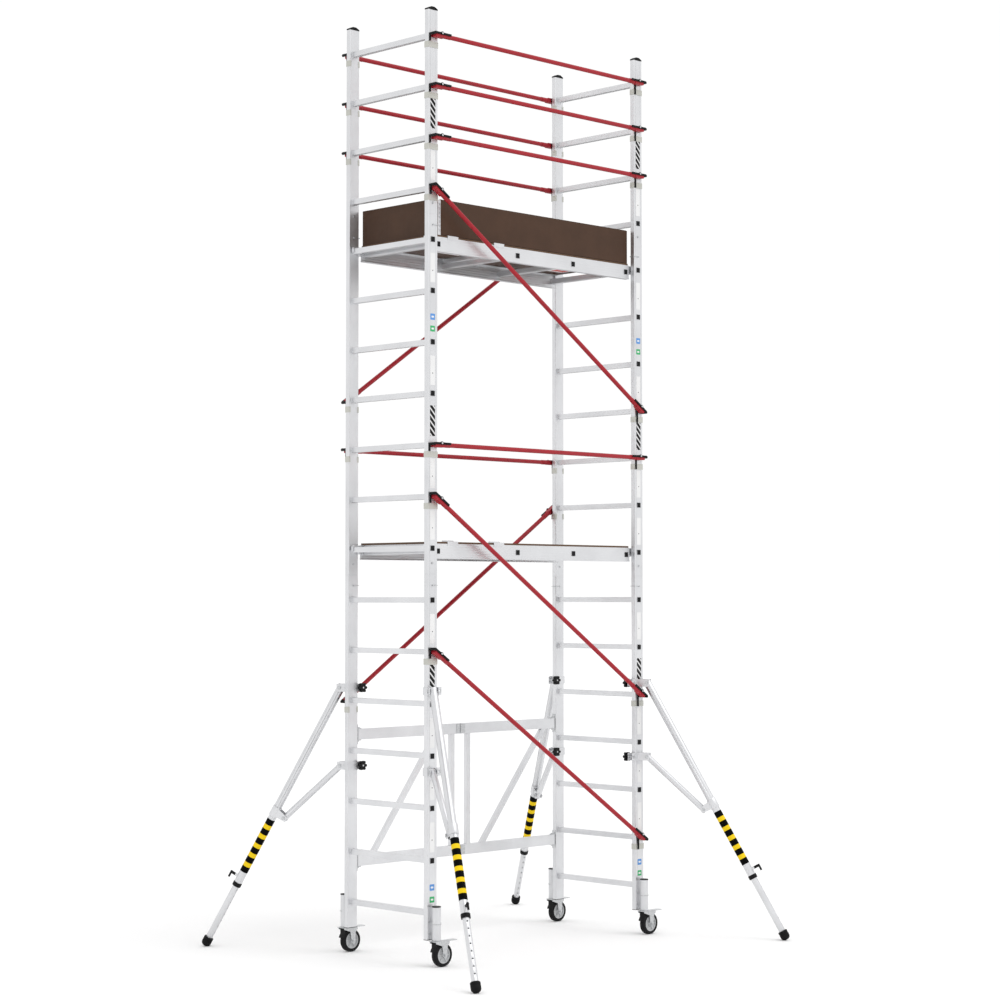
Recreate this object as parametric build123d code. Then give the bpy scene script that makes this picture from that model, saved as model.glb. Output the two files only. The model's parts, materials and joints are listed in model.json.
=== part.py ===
from build123d import *
import math
import os

# A narrow mobile tower scaffold: two ladder frames, two decks with trapdoors, braces, four castors
# and four stabilisers. Millimetres, +Z up, origin on the ground in the middle of the four feet.
# X runs along the tower (left frame at -X), Y across it (front at -Y).

# ---- driving dimensions -------------------------------------------------------------------------
TOWER_LENGTH = 1680.0       # between stile centres, along X
TOWER_WIDTH = 646.0         # between stile centres, along Y

STILE_DEEP = 70.0           # stile section along X
STILE_THICK = 30.0          # stile section along Y
STILE_WALL = 2.5
FACE_GROOVE_WIDE = 40.0     # shallow groove down the outer face
FACE_GROOVE_DEEP = 1.0

RUNG = 30.0                 # square rung tube
RUNG_WALL = 2.0
RUNG_PITCH = 280.0
BASE_RUNGS = 7
MIDDLE_RUNGS = 7
GUARD_RUNGS = 4

SPIGOT_REACH = 120.0        # half length of the sleeve inside each stile joint
SPIGOT_WALL = 3.0
JOINT_PIN_OFFSET = 60.0
JOINT_PIN_RADIUS = 4.0
WIRE_RADIUS = 1.5

SLIP_FIT = 0.2              # between pieces that slide together once
RUN_FIT = 0.08              # round a shaft that turns
AIR_GAP = 0.3               # between faces that pass each other

BRACE_RADIUS = 12.5
BRACE_WALL = 2.0
BRACE_STANDOFF = 24.0       # brace axis outside the stile's outer face
CLAW_LENGTH = 105.0
CLAW_HALF_HEIGHT = 14.0
CLAW_HALF_DEPTH = 15.0
CLAW_BACK = 12.0             # housing past the stile's centre
CLAW_FRONT = 60.0
PEG_RADIUS = 10.0
LEVER_THICK = 5.0
LEVER_REACH = 98.0
PIVOT_OFFSET = 24.0          # latch pivot past the stile's centre
PIVOT_RADIUS = 8.0
RING_PLACE = 29.0
RING_RADIUS = 9.0
JAW_WIDE = 6.0
JAW_INSIDE = 27.0            # jaw of the right-hand latches from the stile's centre
BRACE_INSET = 30.0           # brace tube's end from the stile's centre
CLIP_SKIN = 1.5
CLIP_HEIGHT = 33.0
CLIP_DROP = 52.0            # stile clip below its rung
RAIL_RUNGS = (18, 17, 16, 10)
FRONT_DIAGONALS = ((15, 11), (9, 5), (6, 2))    # rung on the left frame, rung on the right frame
REAR_DIAGONALS = ((11, 15), (5, 9))

DECK_RUNGS = (8, 14)
DECK_SIDE_GAP = 5.0         # deck beam to the stile's inner face
DECK_END_GAP = 10.0         # deck beam to the stile's inner edge
BEAM_BELOW = 55.0           # deck beam below its rung's centre
BEAM_ABOVE = 27.0
BEAM_WALL = 2.5
BEAM_FLANGE = 28.0
CROSS_TUBE = 30.0
CROSS_TUBE_WALL = 2.0
CROSS_DROP = 14.0           # cross tube centre below the rung's centre
CROSS_END_INSET = 28.0      # end cross tube in from the beam's end
CROSS_BESIDE_HATCH = 17.0
CROSS_MIDDLE = 310.0
HOOK_THICK = 12.0
PANEL_THICK = 10.0
HATCH_INSET = 45.0          # trapdoor in from the deck's end
HATCH_LENGTH = 585.0
HATCH_WIDTH = 412.0
HATCH_GAP = 2.0
HATCH_BEARING = 9.0         # width of the hatch edge that rests on its bearers
HINGE_INSETS = (94.0, 133.0)  # hinges in from the trapdoor's two ends
HINGE_WIDTH = 80.0
HINGE_LEAF = 2.5
HINGE_PIN_RADIUS = 2.5
KNUCKLE_RADIUS = 4.5
HINGE_PIN_INSET = 38.0      # hinge pin in from the deck's front
TOE_HEIGHT = 195.0
TOE_THICK = 18.0
TOE_END_INSET = 10.0        # boards in from the deck's ends and sides
TOE_SIDE_INSET = 4.0
TOE_POST = 22.0

SLEEVE_RADIUS = 24.0
SLEEVE_BORE = 19.0
SLEEVE_HEIGHT = 175.0
SLEEVE_SEAT = 4.0           # stem flange below the sleeve
CASTER_OFFSET = 34.0        # castor stem outside the stile's outer face
CASTER_TRAIL = 41.0
WHEEL_RADIUS = 62.5
TYRE_WIDTH = 35.0
TYRE_DEPTH = 17.0
AXLE_RADIUS = 5.0
FORK_GAP = 44.0
FORK_PLATE = 4.0
FORK_CLEAR = 11.7           # tyre to the underside of the fork's crown
KINGPIN_RADIUS = 6.0
PEDAL_PIN_X = 21.0          # brake pedal pin from the axle, along and up
PEDAL_PIN_CLEAR = 6.0        # pin above the tyre
PEDAL_PIN_RADIUS = 3.0
PEDAL_REACH = 78.0          # pedal tip from its pin

ARM_ANGLE = 62.0            # stabiliser swung out from the tower's long axis
LEG_LEAN = 29.2             # stabiliser leg from upright
UPPER_CLAMP_RISE = 69.0     # above the fifth rung
LOWER_CLAMP_DROP = 85.0     # below the fourth rung
CLAMP_HEIGHT = 44.0
CLAMP_PLATE = 4.0
CLAMP_REACH = 30.0          # clamp plates past the stile's inner edge
CLAMP_STUD_X = 52.0         # stud from the stile's centre
UPPER_PIVOT_R = 62.0        # leg pivot from the stile's centre
LOWER_PIVOT_R = 60.0
LEG_RADIUS = 23.0
LEG_WALL = 4.0
LEG_HEAD = 16.0             # tube past its pivot
INNER_LEG_WALL = 2.5
COLLAR_Z = 358.0
COLLAR_RADIUS = 25.5
COLLAR_LENGTH = 24.0
INNER_LEG_OVERLAP = 590.0   # inner leg inside the outer tube
HOLE_PITCH = 40.0
HOLE_RADIUS = 4.5
FOOT_RADIUS = 27.5
FOOT_LENGTH = 60.0
STRUT_RADIUS = 17.5
STRUT_WALL = 2.0
STRUT_ALONG = 806.4         # strut's lower pivot along the leg, and in from its axis
STRUT_INSET = 65.8
BOLT_RADIUS = 6.0
STUD_RADIUS = 5.0
KNOB_RADIUS = 28.0
HANDLE_Z = 395.0
HANDLE_REACH = 42.0          # grip from the outer tube
HANDLE_GRIP = 32.0

FOLD_RAIL_HEIGHT = 60.0
FOLD_RAIL_THICK = 25.0
FOLD_WALL = 2.0
FOLD_LOW_DROP = 57.0        # lower rail below the second rung
FOLD_HIGH_RISE = 88.0       # upper rail above the fourth rung
FOLD_INSETS = (102.0, 81.0)  # outer ends of the diagonals in from the stiles
FOLD_LEFT_TOP = -170.0
FOLD_RIGHT_FOOT = 160.0
FOLD_POST_X = 64.0
FOLD_BAR = 30.0
FOLD_HINGE_HEIGHT = 110.0
FOLD_PIN_RADIUS = 5.0

# ---- sizes that follow --------------------------------------------------------------------------
FORK_TOP = 2 * WHEEL_RADIUS + FORK_CLEAR + FORK_PLATE
FRAME_FOOT = FORK_TOP + AIR_GAP + SLEEVE_SEAT
FIRST_RUNG = FRAME_FOOT + RUNG_PITCH / 2
INNER_LEG_RADIUS = LEG_RADIUS - LEG_WALL - AIR_GAP
HALF_LENGTH = TOWER_LENGTH / 2
HALF_WIDTH = TOWER_WIDTH / 2
HALF_THICK = STILE_THICK / 2
HALF_DEEP = STILE_DEEP / 2
OUTER_FACE = HALF_WIDTH + HALF_THICK
INNER_FACE = HALF_WIDTH - HALF_THICK
INNER_EDGE = HALF_LENGTH - HALF_DEEP
DECK_HALF_LENGTH = INNER_EDGE - DECK_END_GAP
DECK_HALF_WIDTH = INNER_FACE - DECK_SIDE_GAP
HATCH_LEFT = HATCH_INSET - DECK_HALF_LENGTH
HATCH_RIGHT = HATCH_LEFT + HATCH_LENGTH
HINGE_PIN_Y = HINGE_PIN_INSET - DECK_HALF_WIDTH
HATCH_FRONT = HINGE_PIN_Y + 3.0
HATCH_BACK = HATCH_FRONT + HATCH_WIDTH
HINGE_PLACES = (HATCH_LEFT + HINGE_INSETS[0], HATCH_RIGHT - HINGE_INSETS[1])
CROSS_END = DECK_HALF_LENGTH - CROSS_END_INSET
CROSS_PLACES = (-CROSS_END, HATCH_RIGHT + CROSS_BESIDE_HATCH, CROSS_MIDDLE, CROSS_END)
TOE_HALF_LENGTH = DECK_HALF_LENGTH - TOE_END_INSET
TOE_HALF_WIDTH = DECK_HALF_WIDTH - TOE_SIDE_INSET
SLEEVE_TOP = FRAME_FOOT + SLEEVE_HEIGHT
SECTIONS = (BASE_RUNGS, MIDDLE_RUNGS, GUARD_RUNGS)
LAST_RUNG = sum(SECTIONS)
SIDES = (-1, 1)
CORNERS = {"fl": (-1, -1), "fr": (1, -1), "rl": (-1, 1), "rr": (1, 1)}


def rung_z(number):
    return FIRST_RUNG + (number - 1) * RUNG_PITCH


def joint_z(rungs_below):
    return rung_z(rungs_below) + RUNG_PITCH / 2


JOINTS = (joint_z(BASE_RUNGS), joint_z(BASE_RUNGS + MIDDLE_RUNGS))
TOWER_TOP = joint_z(LAST_RUNG)
UPPER_CLAMP_Z = rung_z(5) + UPPER_CLAMP_RISE
LOWER_CLAMP_Z = rung_z(4) - LOWER_CLAMP_DROP
FOLD_RAILS = (rung_z(2) - FOLD_LOW_DROP, rung_z(4) + FOLD_HIGH_RISE)


# ---- shape helpers ------------------------------------------------------------------------------
def box(x0, x1, y0, y1, z0, z1):
    """A block between two limits along each axis, given in either order."""
    centre = Pos((x0 + x1) / 2, (y0 + y1) / 2, (z0 + z1) / 2)
    return centre * Box(abs(x1 - x0), abs(y1 - y0), abs(z1 - z0))


def rod(start, end, radius):
    """A round bar from one point to another."""
    start = Vector(*start)
    run = Vector(*end) - start
    return Plane(origin=start, z_dir=run) * extrude(Circle(radius), run.length)


def tube(start, end, radius, wall):
    return rod(start, end, radius) - rod(start, end, radius - wall)


def upright(points, y0, y1):
    """A flat outline in X and Z, given thickness from y0 to y1."""
    face = make_face(Polyline(*[(x, y1, z) for x, z in points], close=True))
    return extrude(face, abs(y1 - y0), dir=(0, -1 if y1 > y0 else 1, 0))


def write(name, pieces):
    """One STEP file for one node, every piece a solid of its own."""
    solids = [solid for piece in pieces for solid in piece.solids()]
    export_step(Compound(solids), f"parts/{name}.step")


# ---- ladder frames ------------------------------------------------------------------------------
def stile(sx, sy, low, high, rungs):
    x = sx * HALF_LENGTH
    y = sy * HALF_WIDTH
    body = box(x - HALF_DEEP, x + HALF_DEEP, y - HALF_THICK, y + HALF_THICK, low, high)
    body = fillet(body.edges().filter_by(Axis.Z), 3)
    hollow = box(
        x - HALF_DEEP + STILE_WALL, x + HALF_DEEP - STILE_WALL,
        y - HALF_THICK + STILE_WALL, y + HALF_THICK - STILE_WALL, low, high)
    groove_floor = sy * (OUTER_FACE - FACE_GROOVE_DEEP)
    half_groove = FACE_GROOVE_WIDE / 2
    groove = box(x - half_groove, x + half_groove, groove_floor, sy * (OUTER_FACE + 1), low, high)
    body = body - hollow - groove
    for number in rungs:
        z = rung_z(number)
        body -= box(x - RUNG / 2, x + RUNG / 2, y - STILE_THICK, y + STILE_THICK, z - RUNG / 2, z + RUNG / 2)
    for joint in JOINTS:
        for z in (joint - JOINT_PIN_OFFSET, joint + JOINT_PIN_OFFSET):
            if low < z < high:
                radius = JOINT_PIN_RADIUS + SLIP_FIT / 2
                body -= rod((x, y - STILE_THICK, z), (x, y + STILE_THICK, z), radius)
    return body


def rung(sx, number):
    x = sx * HALF_LENGTH
    z = rung_z(number)
    half = RUNG / 2
    bore = half - RUNG_WALL
    body = box(x - half, x + half, -OUTER_FACE, OUTER_FACE, z - half, z + half)
    return body - box(x - bore, x + bore, -OUTER_FACE, OUTER_FACE, z - bore, z + bore)


def ladder_frame(sx, first, count):
    numbers = range(first, first + count)
    low = FRAME_FOOT if first == 1 else joint_z(first - 1)
    high = joint_z(first + count - 1)
    stiles = [stile(sx, sy, low, high, numbers) for sy in SIDES]
    return stiles + [rung(sx, number) for number in numbers]


def spigots():
    pieces = []
    deep = HALF_DEEP - STILE_WALL - SLIP_FIT
    thick = HALF_THICK - STILE_WALL - SLIP_FIT
    for sx, sy in CORNERS.values():
        x = sx * HALF_LENGTH
        y = sy * HALF_WIDTH
        for joint in JOINTS:
            low = joint - SPIGOT_REACH
            high = joint + SPIGOT_REACH
            body = box(x - deep, x + deep, y - thick, y + thick, low, high)
            body -= box(
                x - deep + SPIGOT_WALL, x + deep - SPIGOT_WALL,
                y - thick + SPIGOT_WALL, y + thick - SPIGOT_WALL, low, high)
            for z in (joint - JOINT_PIN_OFFSET, joint + JOINT_PIN_OFFSET):
                radius = JOINT_PIN_RADIUS + SLIP_FIT / 2
                body -= rod((x, y - STILE_THICK, z), (x, y + STILE_THICK, z), radius)
            pieces.append(body)
    return pieces


def joint_rivet(x, y, z):
    head = JOINT_PIN_RADIUS + 2.5
    shank = rod((x, y - HALF_THICK - 2, z), (x, y + HALF_THICK + 2, z), JOINT_PIN_RADIUS)
    for side in SIDES:
        shank += rod((x, y + side * HALF_THICK, z), (x, y + side * (HALF_THICK + 2.5), z), head)
    return shank


def joint_clip(sx, x, y, z):
    """A locking pin held by a spring wire that wraps the stile's inner edge."""
    reach = HALF_THICK + 5.0
    wrap = HALF_DEEP + 6.0
    pin = rod((x, y - reach, z), (x, y + reach, z), JOINT_PIN_RADIUS)
    corners = [(x, y - reach, z), (x - sx * wrap, y - reach, z), (x - sx * wrap, y + reach, z), (x, y + reach, z)]
    path = FilletPolyline(*corners, radius=8)
    wire = sweep(Plane(origin=corners[0], z_dir=(-sx, 0, 0)) * Circle(WIRE_RADIUS), path=path)
    return pin + wire


def joint_fixings():
    pieces = []
    for sx, sy in CORNERS.values():
        x = sx * HALF_LENGTH
        y = sy * HALF_WIDTH
        for joint in JOINTS:
            pieces.append(joint_rivet(x, y, joint + JOINT_PIN_OFFSET))
            pieces.append(joint_clip(sx, x, y, joint - JOINT_PIN_OFFSET))
    return pieces


# ---- braces -------------------------------------------------------------------------------------
def brace_ends():
    """Every brace as (side, rung on the left frame, rung on the right frame)."""
    rails = [(sy, number, number) for sy in SIDES for number in RAIL_RUNGS]
    front = [(-1, left, right) for left, right in FRONT_DIAGONALS]
    rear = [(1, left, right) for left, right in REAR_DIAGONALS]
    return rails + front + rear


def brace_run(left, right):
    """Length and slope angle of a brace between two rungs."""
    rise = rung_z(right) - rung_z(left)
    return math.hypot(TOWER_LENGTH, rise), math.degrees(math.atan2(rise, TOWER_LENGTH))


def claw_frames():
    """The place of each claw: X local along its brace, Y local outwards, Z local upwards, and its corner."""
    frames = []
    for sy, left, right in brace_ends():
        slope = math.radians(brace_run(left, right)[1])
        for sx, number in ((-1, left), (1, right)):
            along = (-sx * math.cos(slope), 0, -sx * math.sin(slope))
            up = (-math.sin(slope), 0, math.cos(slope))
            frames.append((sx, sy, number, along, up))
    return frames


def on_brace(sx, sy, number, along, up, s, v, w):
    """A point s along the brace, v above it and w out from the stile's outer face."""
    return (
        sx * HALF_LENGTH + s * along[0] + v * up[0],
        sy * (OUTER_FACE + w),
        rung_z(number) + s * along[2] + v * up[2])


def slab(frame, s0, s1, v0, v1, w0, w1):
    """A block in a claw's own directions."""
    sx, sy, number, along, up = frame
    corners = [(s0, v0), (s1, v0), (s1, v1), (s0, v1)]
    points = [on_brace(sx, sy, number, along, up, s, v, w0) for s, v in corners]
    face = make_face(Polyline(*points, close=True))
    return extrude(face, w1 - w0, dir=(0, sy, 0))


def claw(frame):
    """A red claw: a peg in the rung's end and a housing on the brace's end."""
    sx, sy, number = frame[:3]
    x = sx * HALF_LENGTH
    z = rung_z(number)
    near = BRACE_STANDOFF - CLAW_HALF_DEPTH
    far = BRACE_STANDOFF + CLAW_HALF_DEPTH
    housing = slab(frame, -CLAW_BACK, CLAW_FRONT, -CLAW_HALF_HEIGHT, CLAW_HALF_HEIGHT, near, far)
    housing = fillet(housing.edges().filter_by(Axis.Y), 6)
    neck_start = on_brace(*frame, CLAW_FRONT - 12, 0, BRACE_STANDOFF)
    end = on_brace(*frame, CLAW_LENGTH, 0, BRACE_STANDOFF)
    housing += rod(neck_start, end, CLAW_HALF_HEIGHT)
    housing += rod((x, sy * (OUTER_FACE - 5), z), (x, sy * (OUTER_FACE + near + 2), z), PEG_RADIUS)
    square = RUNG / 2 - RUNG_WALL - AIR_GAP
    housing += box(
        x - square, x + square, sy * (OUTER_FACE - 24), sy * OUTER_FACE, z - square, z + square)
    socket_start = on_brace(*frame, BRACE_INSET, 0, BRACE_STANDOFF)
    socket_end = on_brace(*frame, CLAW_LENGTH + 1, 0, BRACE_STANDOFF)
    return housing - rod(socket_start, socket_end, BRACE_RADIUS + 0.05)


def latch(frame):
    """A black lever over the claw's outer side, its pull ring, and a jaw that hooks on the stile clip."""
    sx, sy, number = frame[:3]
    back = CLIP_SKIN
    front = BRACE_STANDOFF + CLAW_HALF_DEPTH
    outer = front + LEVER_THICK
    bar_low = PEG_RADIUS + AIR_GAP
    bar_high = CLAW_HALF_HEIGHT - 0.5
    near = BRACE_STANDOFF - CLAW_HALF_DEPTH
    pivot = (-PIVOT_OFFSET, PIVOT_RADIUS / 2)
    lever = slab(frame, -PIVOT_OFFSET, LEVER_REACH, 1, CLAW_HALF_HEIGHT - 1, front, outer)
    lever += rod(on_brace(*frame, *pivot, back), on_brace(*frame, *pivot, outer), PIVOT_RADIUS)
    ring_v = RING_RADIUS
    lever += rod(
        on_brace(*frame, RING_PLACE, ring_v, front), on_brace(*frame, RING_PLACE, ring_v, outer + 3), RING_RADIUS)
    lever -= rod(
        on_brace(*frame, RING_PLACE, ring_v, front - 1), on_brace(*frame, RING_PLACE, ring_v, outer + 4), 3.5)
    clip_z = rung_z(number) - CLIP_DROP
    if sx < 0:
        x, y, top = on_brace(*frame, -PIVOT_OFFSET - 2, PIVOT_RADIUS / 2, back)
        bottom = clip_z + CLIP_HEIGHT / 2
    else:
        x, y, top = on_brace(*frame, JAW_INSIDE, (bar_low + bar_high) / 2, back)
        bottom = clip_z - CLIP_HEIGHT / 2
        lever += slab(frame, -PIVOT_OFFSET, JAW_INSIDE + JAW_WIDE / 2, bar_low, bar_high, back, near)
    half = JAW_WIDE / 2
    return lever + box(x - half, x + half, sy * (OUTER_FACE + back), sy * (OUTER_FACE + near), bottom, top)


def stile_clip(frame):
    """A thin saddle round the stile that the jaw of the latch hooks on."""
    sx, sy, number = frame[:3]
    skin = CLIP_SKIN
    lip = 10.0
    x = sx * HALF_LENGTH
    y = sy * HALF_WIDTH
    z = rung_z(number) - CLIP_DROP
    low = z - CLIP_HEIGHT / 2
    high = z + CLIP_HEIGHT / 2
    thick = HALF_THICK + skin
    body = box(x - HALF_DEEP - skin, x + HALF_DEEP + skin, y - thick, y + thick, low, high)
    body -= box(x - HALF_DEEP, x + HALF_DEEP, y - HALF_THICK, y + HALF_THICK, low, high)
    mouth = HALF_DEEP - lip
    return body - box(x - mouth, x + mouth, y, sy * (INNER_FACE - skin - 1), low, high)


def brace_tube(sy, left, right):
    y = sy * (OUTER_FACE + BRACE_STANDOFF)
    length, slope = brace_run(left, right)
    inset = BRACE_INSET / length
    start = Vector(-HALF_LENGTH, y, rung_z(left))
    run = Vector(HALF_LENGTH, y, rung_z(right)) - start
    return tube(start + run * inset, start + run * (1 - inset), BRACE_RADIUS, BRACE_WALL)


# ---- plugs and caps -----------------------------------------------------------------------------
def rung_plug(sx, sy, number):
    x = sx * HALF_LENGTH
    z = rung_z(number)
    square = RUNG / 2 - RUNG_WALL - SLIP_FIT
    head = RUNG / 2 - 1
    body = box(x - square, x + square, sy * (OUTER_FACE - 12), sy * OUTER_FACE, z - square, z + square)
    return body + box(x - head, x + head, sy * OUTER_FACE, sy * (OUTER_FACE + 2), z - head, z + head)


def stile_cap(sx, sy, z, up):
    """A plug for a stile's end: a peak at the top, a flat pad at the foot."""
    x = sx * HALF_LENGTH
    y = sy * HALF_WIDTH
    deep = HALF_DEEP - STILE_WALL - SLIP_FIT
    thick = HALF_THICK - STILE_WALL - SLIP_FIT
    insert = box(x - deep, x + deep, y - thick, y + thick, z - up * 22, z)
    if up < 0:
        return insert + box(x - HALF_DEEP, x + HALF_DEEP, y - HALF_THICK, y + HALF_THICK, z - 3, z)
    outline = [
        (x - HALF_DEEP, z), (x + HALF_DEEP, z), (x + HALF_DEEP, z + 7), (x + 12, z + 18),
        (x - 12, z + 18), (x - HALF_DEEP, z + 7)]
    return insert + upright(outline, y - HALF_THICK, y + HALF_THICK)


def sleeve_cap(sx, sy):
    x = sx * HALF_LENGTH
    y = sy * (OUTER_FACE + CASTER_OFFSET)
    body = rod((x, y, SLEEVE_TOP - 10), (x, y, SLEEVE_TOP), SLEEVE_BORE - SLIP_FIT)
    return body + rod((x, y, SLEEVE_TOP), (x, y, SLEEVE_TOP + 5), SLEEVE_RADIUS + 1)


def deck_plugs():
    """Plugs in the ends of the deck's cross tubes."""
    pieces = []
    square = CROSS_TUBE / 2 - CROSS_TUBE_WALL - SLIP_FIT
    head = CROSS_TUBE / 2 - 1
    end = DECK_HALF_WIDTH + 1
    for number in DECK_RUNGS:
        z = rung_z(number) - CROSS_DROP
        for x in CROSS_PLACES:
            for sy in SIDES:
                plug = box(x - square, x + square, sy * (end - 12), sy * end, z - square, z + square)
                plug += box(x - head, x + head, sy * end, sy * (end + 2), z - head, z + head)
                pieces.append(plug)
    return pieces


def end_plugs():
    taken = {(sx, sy, number) for sx, sy, number, along, up in claw_frames()}
    pieces = deck_plugs()
    for sx, sy in CORNERS.values():
        for number in range(2, LAST_RUNG + 1):
            if (sx, sy, number) not in taken:
                pieces.append(rung_plug(sx, sy, number))
        pieces.append(stile_cap(sx, sy, TOWER_TOP, 1))
        pieces.append(stile_cap(sx, sy, FRAME_FOOT, -1))
        pieces.append(sleeve_cap(sx, sy))
    return pieces


# ---- decks --------------------------------------------------------------------------------------
def side_beam(sy, rung_height):
    """A channel with its web outside, a bead along its lower edge and holes for the cross tubes."""
    low = rung_height - BEAM_BELOW
    high = rung_height + BEAM_ABOVE
    outer = DECK_HALF_WIDTH
    inner = outer - BEAM_FLANGE
    end = DECK_HALF_LENGTH
    body = box(-end, end, sy * inner, sy * outer, low, high)
    body -= box(-end, end, sy * inner, sy * (outer - BEAM_WALL), low + BEAM_WALL, high - BEAM_WALL)
    body += box(-end, end, sy * outer, sy * (outer + 2), low, low + 8)
    z = rung_height - CROSS_DROP
    half = CROSS_TUBE / 2
    for x in CROSS_PLACES:
        body -= box(x - half, x + half, sy * (outer - 10), sy * (outer + 10), z - half, z + half)
    return body


def cross_tube(x, rung_height):
    z = rung_height - CROSS_DROP
    half = CROSS_TUBE / 2
    bore = half - CROSS_TUBE_WALL
    end = DECK_HALF_WIDTH + 1
    body = box(x - half, x + half, -end, end, z - half, z + half)
    return body - box(x - bore, x + bore, -end, end, z - bore, z + bore)


def deck_hook(sx, sy, rung_height):
    """A cast hook inside the beam's end that drops over the rung."""
    near = HALF_LENGTH - RUNG / 2 - 0.5
    far = HALF_LENGTH + RUNG / 2 + 0.5
    top = rung_height + BEAM_ABOVE - BEAM_WALL
    seat = rung_height + RUNG / 2
    tail = DECK_HALF_LENGTH - 12
    outline = [
        (tail, rung_height - 25), (near - 10, rung_height - 25), (near, rung_height - 10), (near, seat),
        (far, seat), (far, rung_height - 2), (far + 7, rung_height - 6), (far + 7, top - 4),
        (far + 1, top), (tail, top)]
    outer = sy * (DECK_HALF_WIDTH - BEAM_WALL)
    inner = sy * (DECK_HALF_WIDTH - BEAM_WALL - HOOK_THICK)
    return upright([(sx * x, z) for x, z in outline], inner, outer)


def hatch_bearer(x, rung_height):
    """A bar on a cross tube that carries the edge of the fixed panel and of the hatch."""
    half = CROSS_TUBE / 2
    low = rung_height - CROSS_DROP + half
    end = DECK_HALF_WIDTH - BEAM_FLANGE - 2
    if x < HATCH_LEFT:
        return box(x - half, HATCH_LEFT + HATCH_BEARING, -end, end, low, rung_height + BEAM_ABOVE)
    return box(HATCH_RIGHT - HATCH_BEARING, x + half, -end, end, low, rung_height + BEAM_ABOVE)


def deck_frame(number):
    height = rung_z(number)
    pieces = [side_beam(sy, height) for sy in SIDES]
    pieces += [cross_tube(x, height) for x in CROSS_PLACES]
    pieces += [hatch_bearer(x, height) for x in CROSS_PLACES[:2]]
    pieces += [deck_hook(sx, sy, height) for sx in SIDES for sy in SIDES]
    return pieces


def deck_panel(number):
    low = rung_z(number) + BEAM_ABOVE
    high = low + PANEL_THICK
    end = DECK_HALF_LENGTH - 5
    side = DECK_HALF_WIDTH - 3
    front = 2 * HINGE_PIN_Y - HATCH_FRONT
    panel = box(-end, end, -side, side, low, high)
    return panel - box(HATCH_LEFT - HATCH_GAP, HATCH_RIGHT + HATCH_GAP, front, HATCH_BACK + HATCH_GAP, low, high)


def hinge_pin_z(number):
    return rung_z(number) + BEAM_ABOVE + PANEL_THICK + KNUCKLE_RADIUS + 0.5


def hatch(number):
    """The trapdoor panel with its hinge leaves and a sunk finger pull."""
    low = rung_z(number) + BEAM_ABOVE + AIR_GAP
    high = low + PANEL_THICK
    pin_z = hinge_pin_z(number)
    panel = box(HATCH_LEFT, HATCH_RIGHT, HATCH_FRONT, HATCH_BACK, low, high)
    middle = (HATCH_LEFT + HATCH_RIGHT) / 2
    panel -= box(middle - 45, middle + 45, HATCH_BACK - 60, HATCH_BACK - 30, low, high)
    pieces = [panel]
    half = HINGE_WIDTH / 4 - AIR_GAP
    for x in HINGE_PLACES:
        leaf = box(x - half, x + half, HINGE_PIN_Y, HATCH_FRONT + 32, high, high + HINGE_LEAF)
        leaf += rod((x - half, HINGE_PIN_Y, pin_z), (x + half, HINGE_PIN_Y, pin_z), KNUCKLE_RADIUS)
        bore = HINGE_PIN_RADIUS + RUN_FIT
        leaf -= rod((x - half - 1, HINGE_PIN_Y, pin_z), (x + half + 1, HINGE_PIN_Y, pin_z), bore)
        pieces.append(leaf)
    return pieces


def fixed_hinges(number):
    """Hinge leaves on the deck's front edge and their pins."""
    panel_top = rung_z(number) + BEAM_ABOVE + PANEL_THICK
    pin_z = hinge_pin_z(number)
    outer = -(DECK_HALF_WIDTH + HINGE_LEAF)
    half = HINGE_WIDTH / 2
    inner_half = HINGE_WIDTH / 4
    pieces = []
    for x in HINGE_PLACES:
        leaf = box(x - half, x + half, outer, HINGE_PIN_Y, panel_top, panel_top + HINGE_LEAF)
        leaf += box(x - half, x + half, outer, -DECK_HALF_WIDTH, panel_top - 20, panel_top)
        leaf += rod((x - half, HINGE_PIN_Y, pin_z), (x + half, HINGE_PIN_Y, pin_z), KNUCKLE_RADIUS)
        window = HINGE_PIN_Y - KNUCKLE_RADIUS - AIR_GAP
        leaf -= box(
            x - inner_half, x + inner_half, window, HINGE_PIN_Y + 10, panel_top - 1, pin_z + 10)
        leaf -= rod((x - half - 1, HINGE_PIN_Y, pin_z), (x + half + 1, HINGE_PIN_Y, pin_z), HINGE_PIN_RADIUS)
        pieces.append(leaf)
        pieces.append(rod((x - half, HINGE_PIN_Y, pin_z), (x + half, HINGE_PIN_Y, pin_z), HINGE_PIN_RADIUS))
    return pieces


def toe_board_levels():
    panel_top = rung_z(DECK_RUNGS[-1]) + BEAM_ABOVE + PANEL_THICK
    return panel_top, panel_top + HINGE_LEAF, panel_top + HINGE_LEAF + TOE_HEIGHT


def toe_boards():
    """Boards round the working deck: two across its ends and two along its sides."""
    low, front_low, high = toe_board_levels()
    end = TOE_HALF_LENGTH - TOE_THICK
    side = TOE_HALF_WIDTH
    inner = side - TOE_THICK
    ends = [box(sx * end, sx * TOE_HALF_LENGTH, -side, side, low, high) for sx in SIDES]
    front = box(-end + TOE_POST, end, -side, -inner, front_low, high)
    rear = box(-end, end - TOE_POST, inner, side, low, high)
    return ends + [front, rear]


def toe_posts():
    """Ribbed corner posts in the gaps at the ends of the long boards."""
    low, front_low, high = toe_board_levels()
    end = TOE_HALF_LENGTH - TOE_THICK
    pieces = []
    for side in SIDES:
        x0 = side * (end - TOE_POST)
        y0 = side * (TOE_HALF_WIDTH - TOE_THICK)
        post = box(x0, side * end, y0, side * TOE_HALF_WIDTH, low, high - 5)
        for step in range(7):
            z = low + 20 + 24 * step
            notch_y = side * (TOE_HALF_WIDTH - 3)
            post -= box(x0 + side * 4, side * (end - 4), notch_y, side * (TOE_HALF_WIDTH + 1), z, z + 12)
        pieces.append(post)
    return pieces


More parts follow.
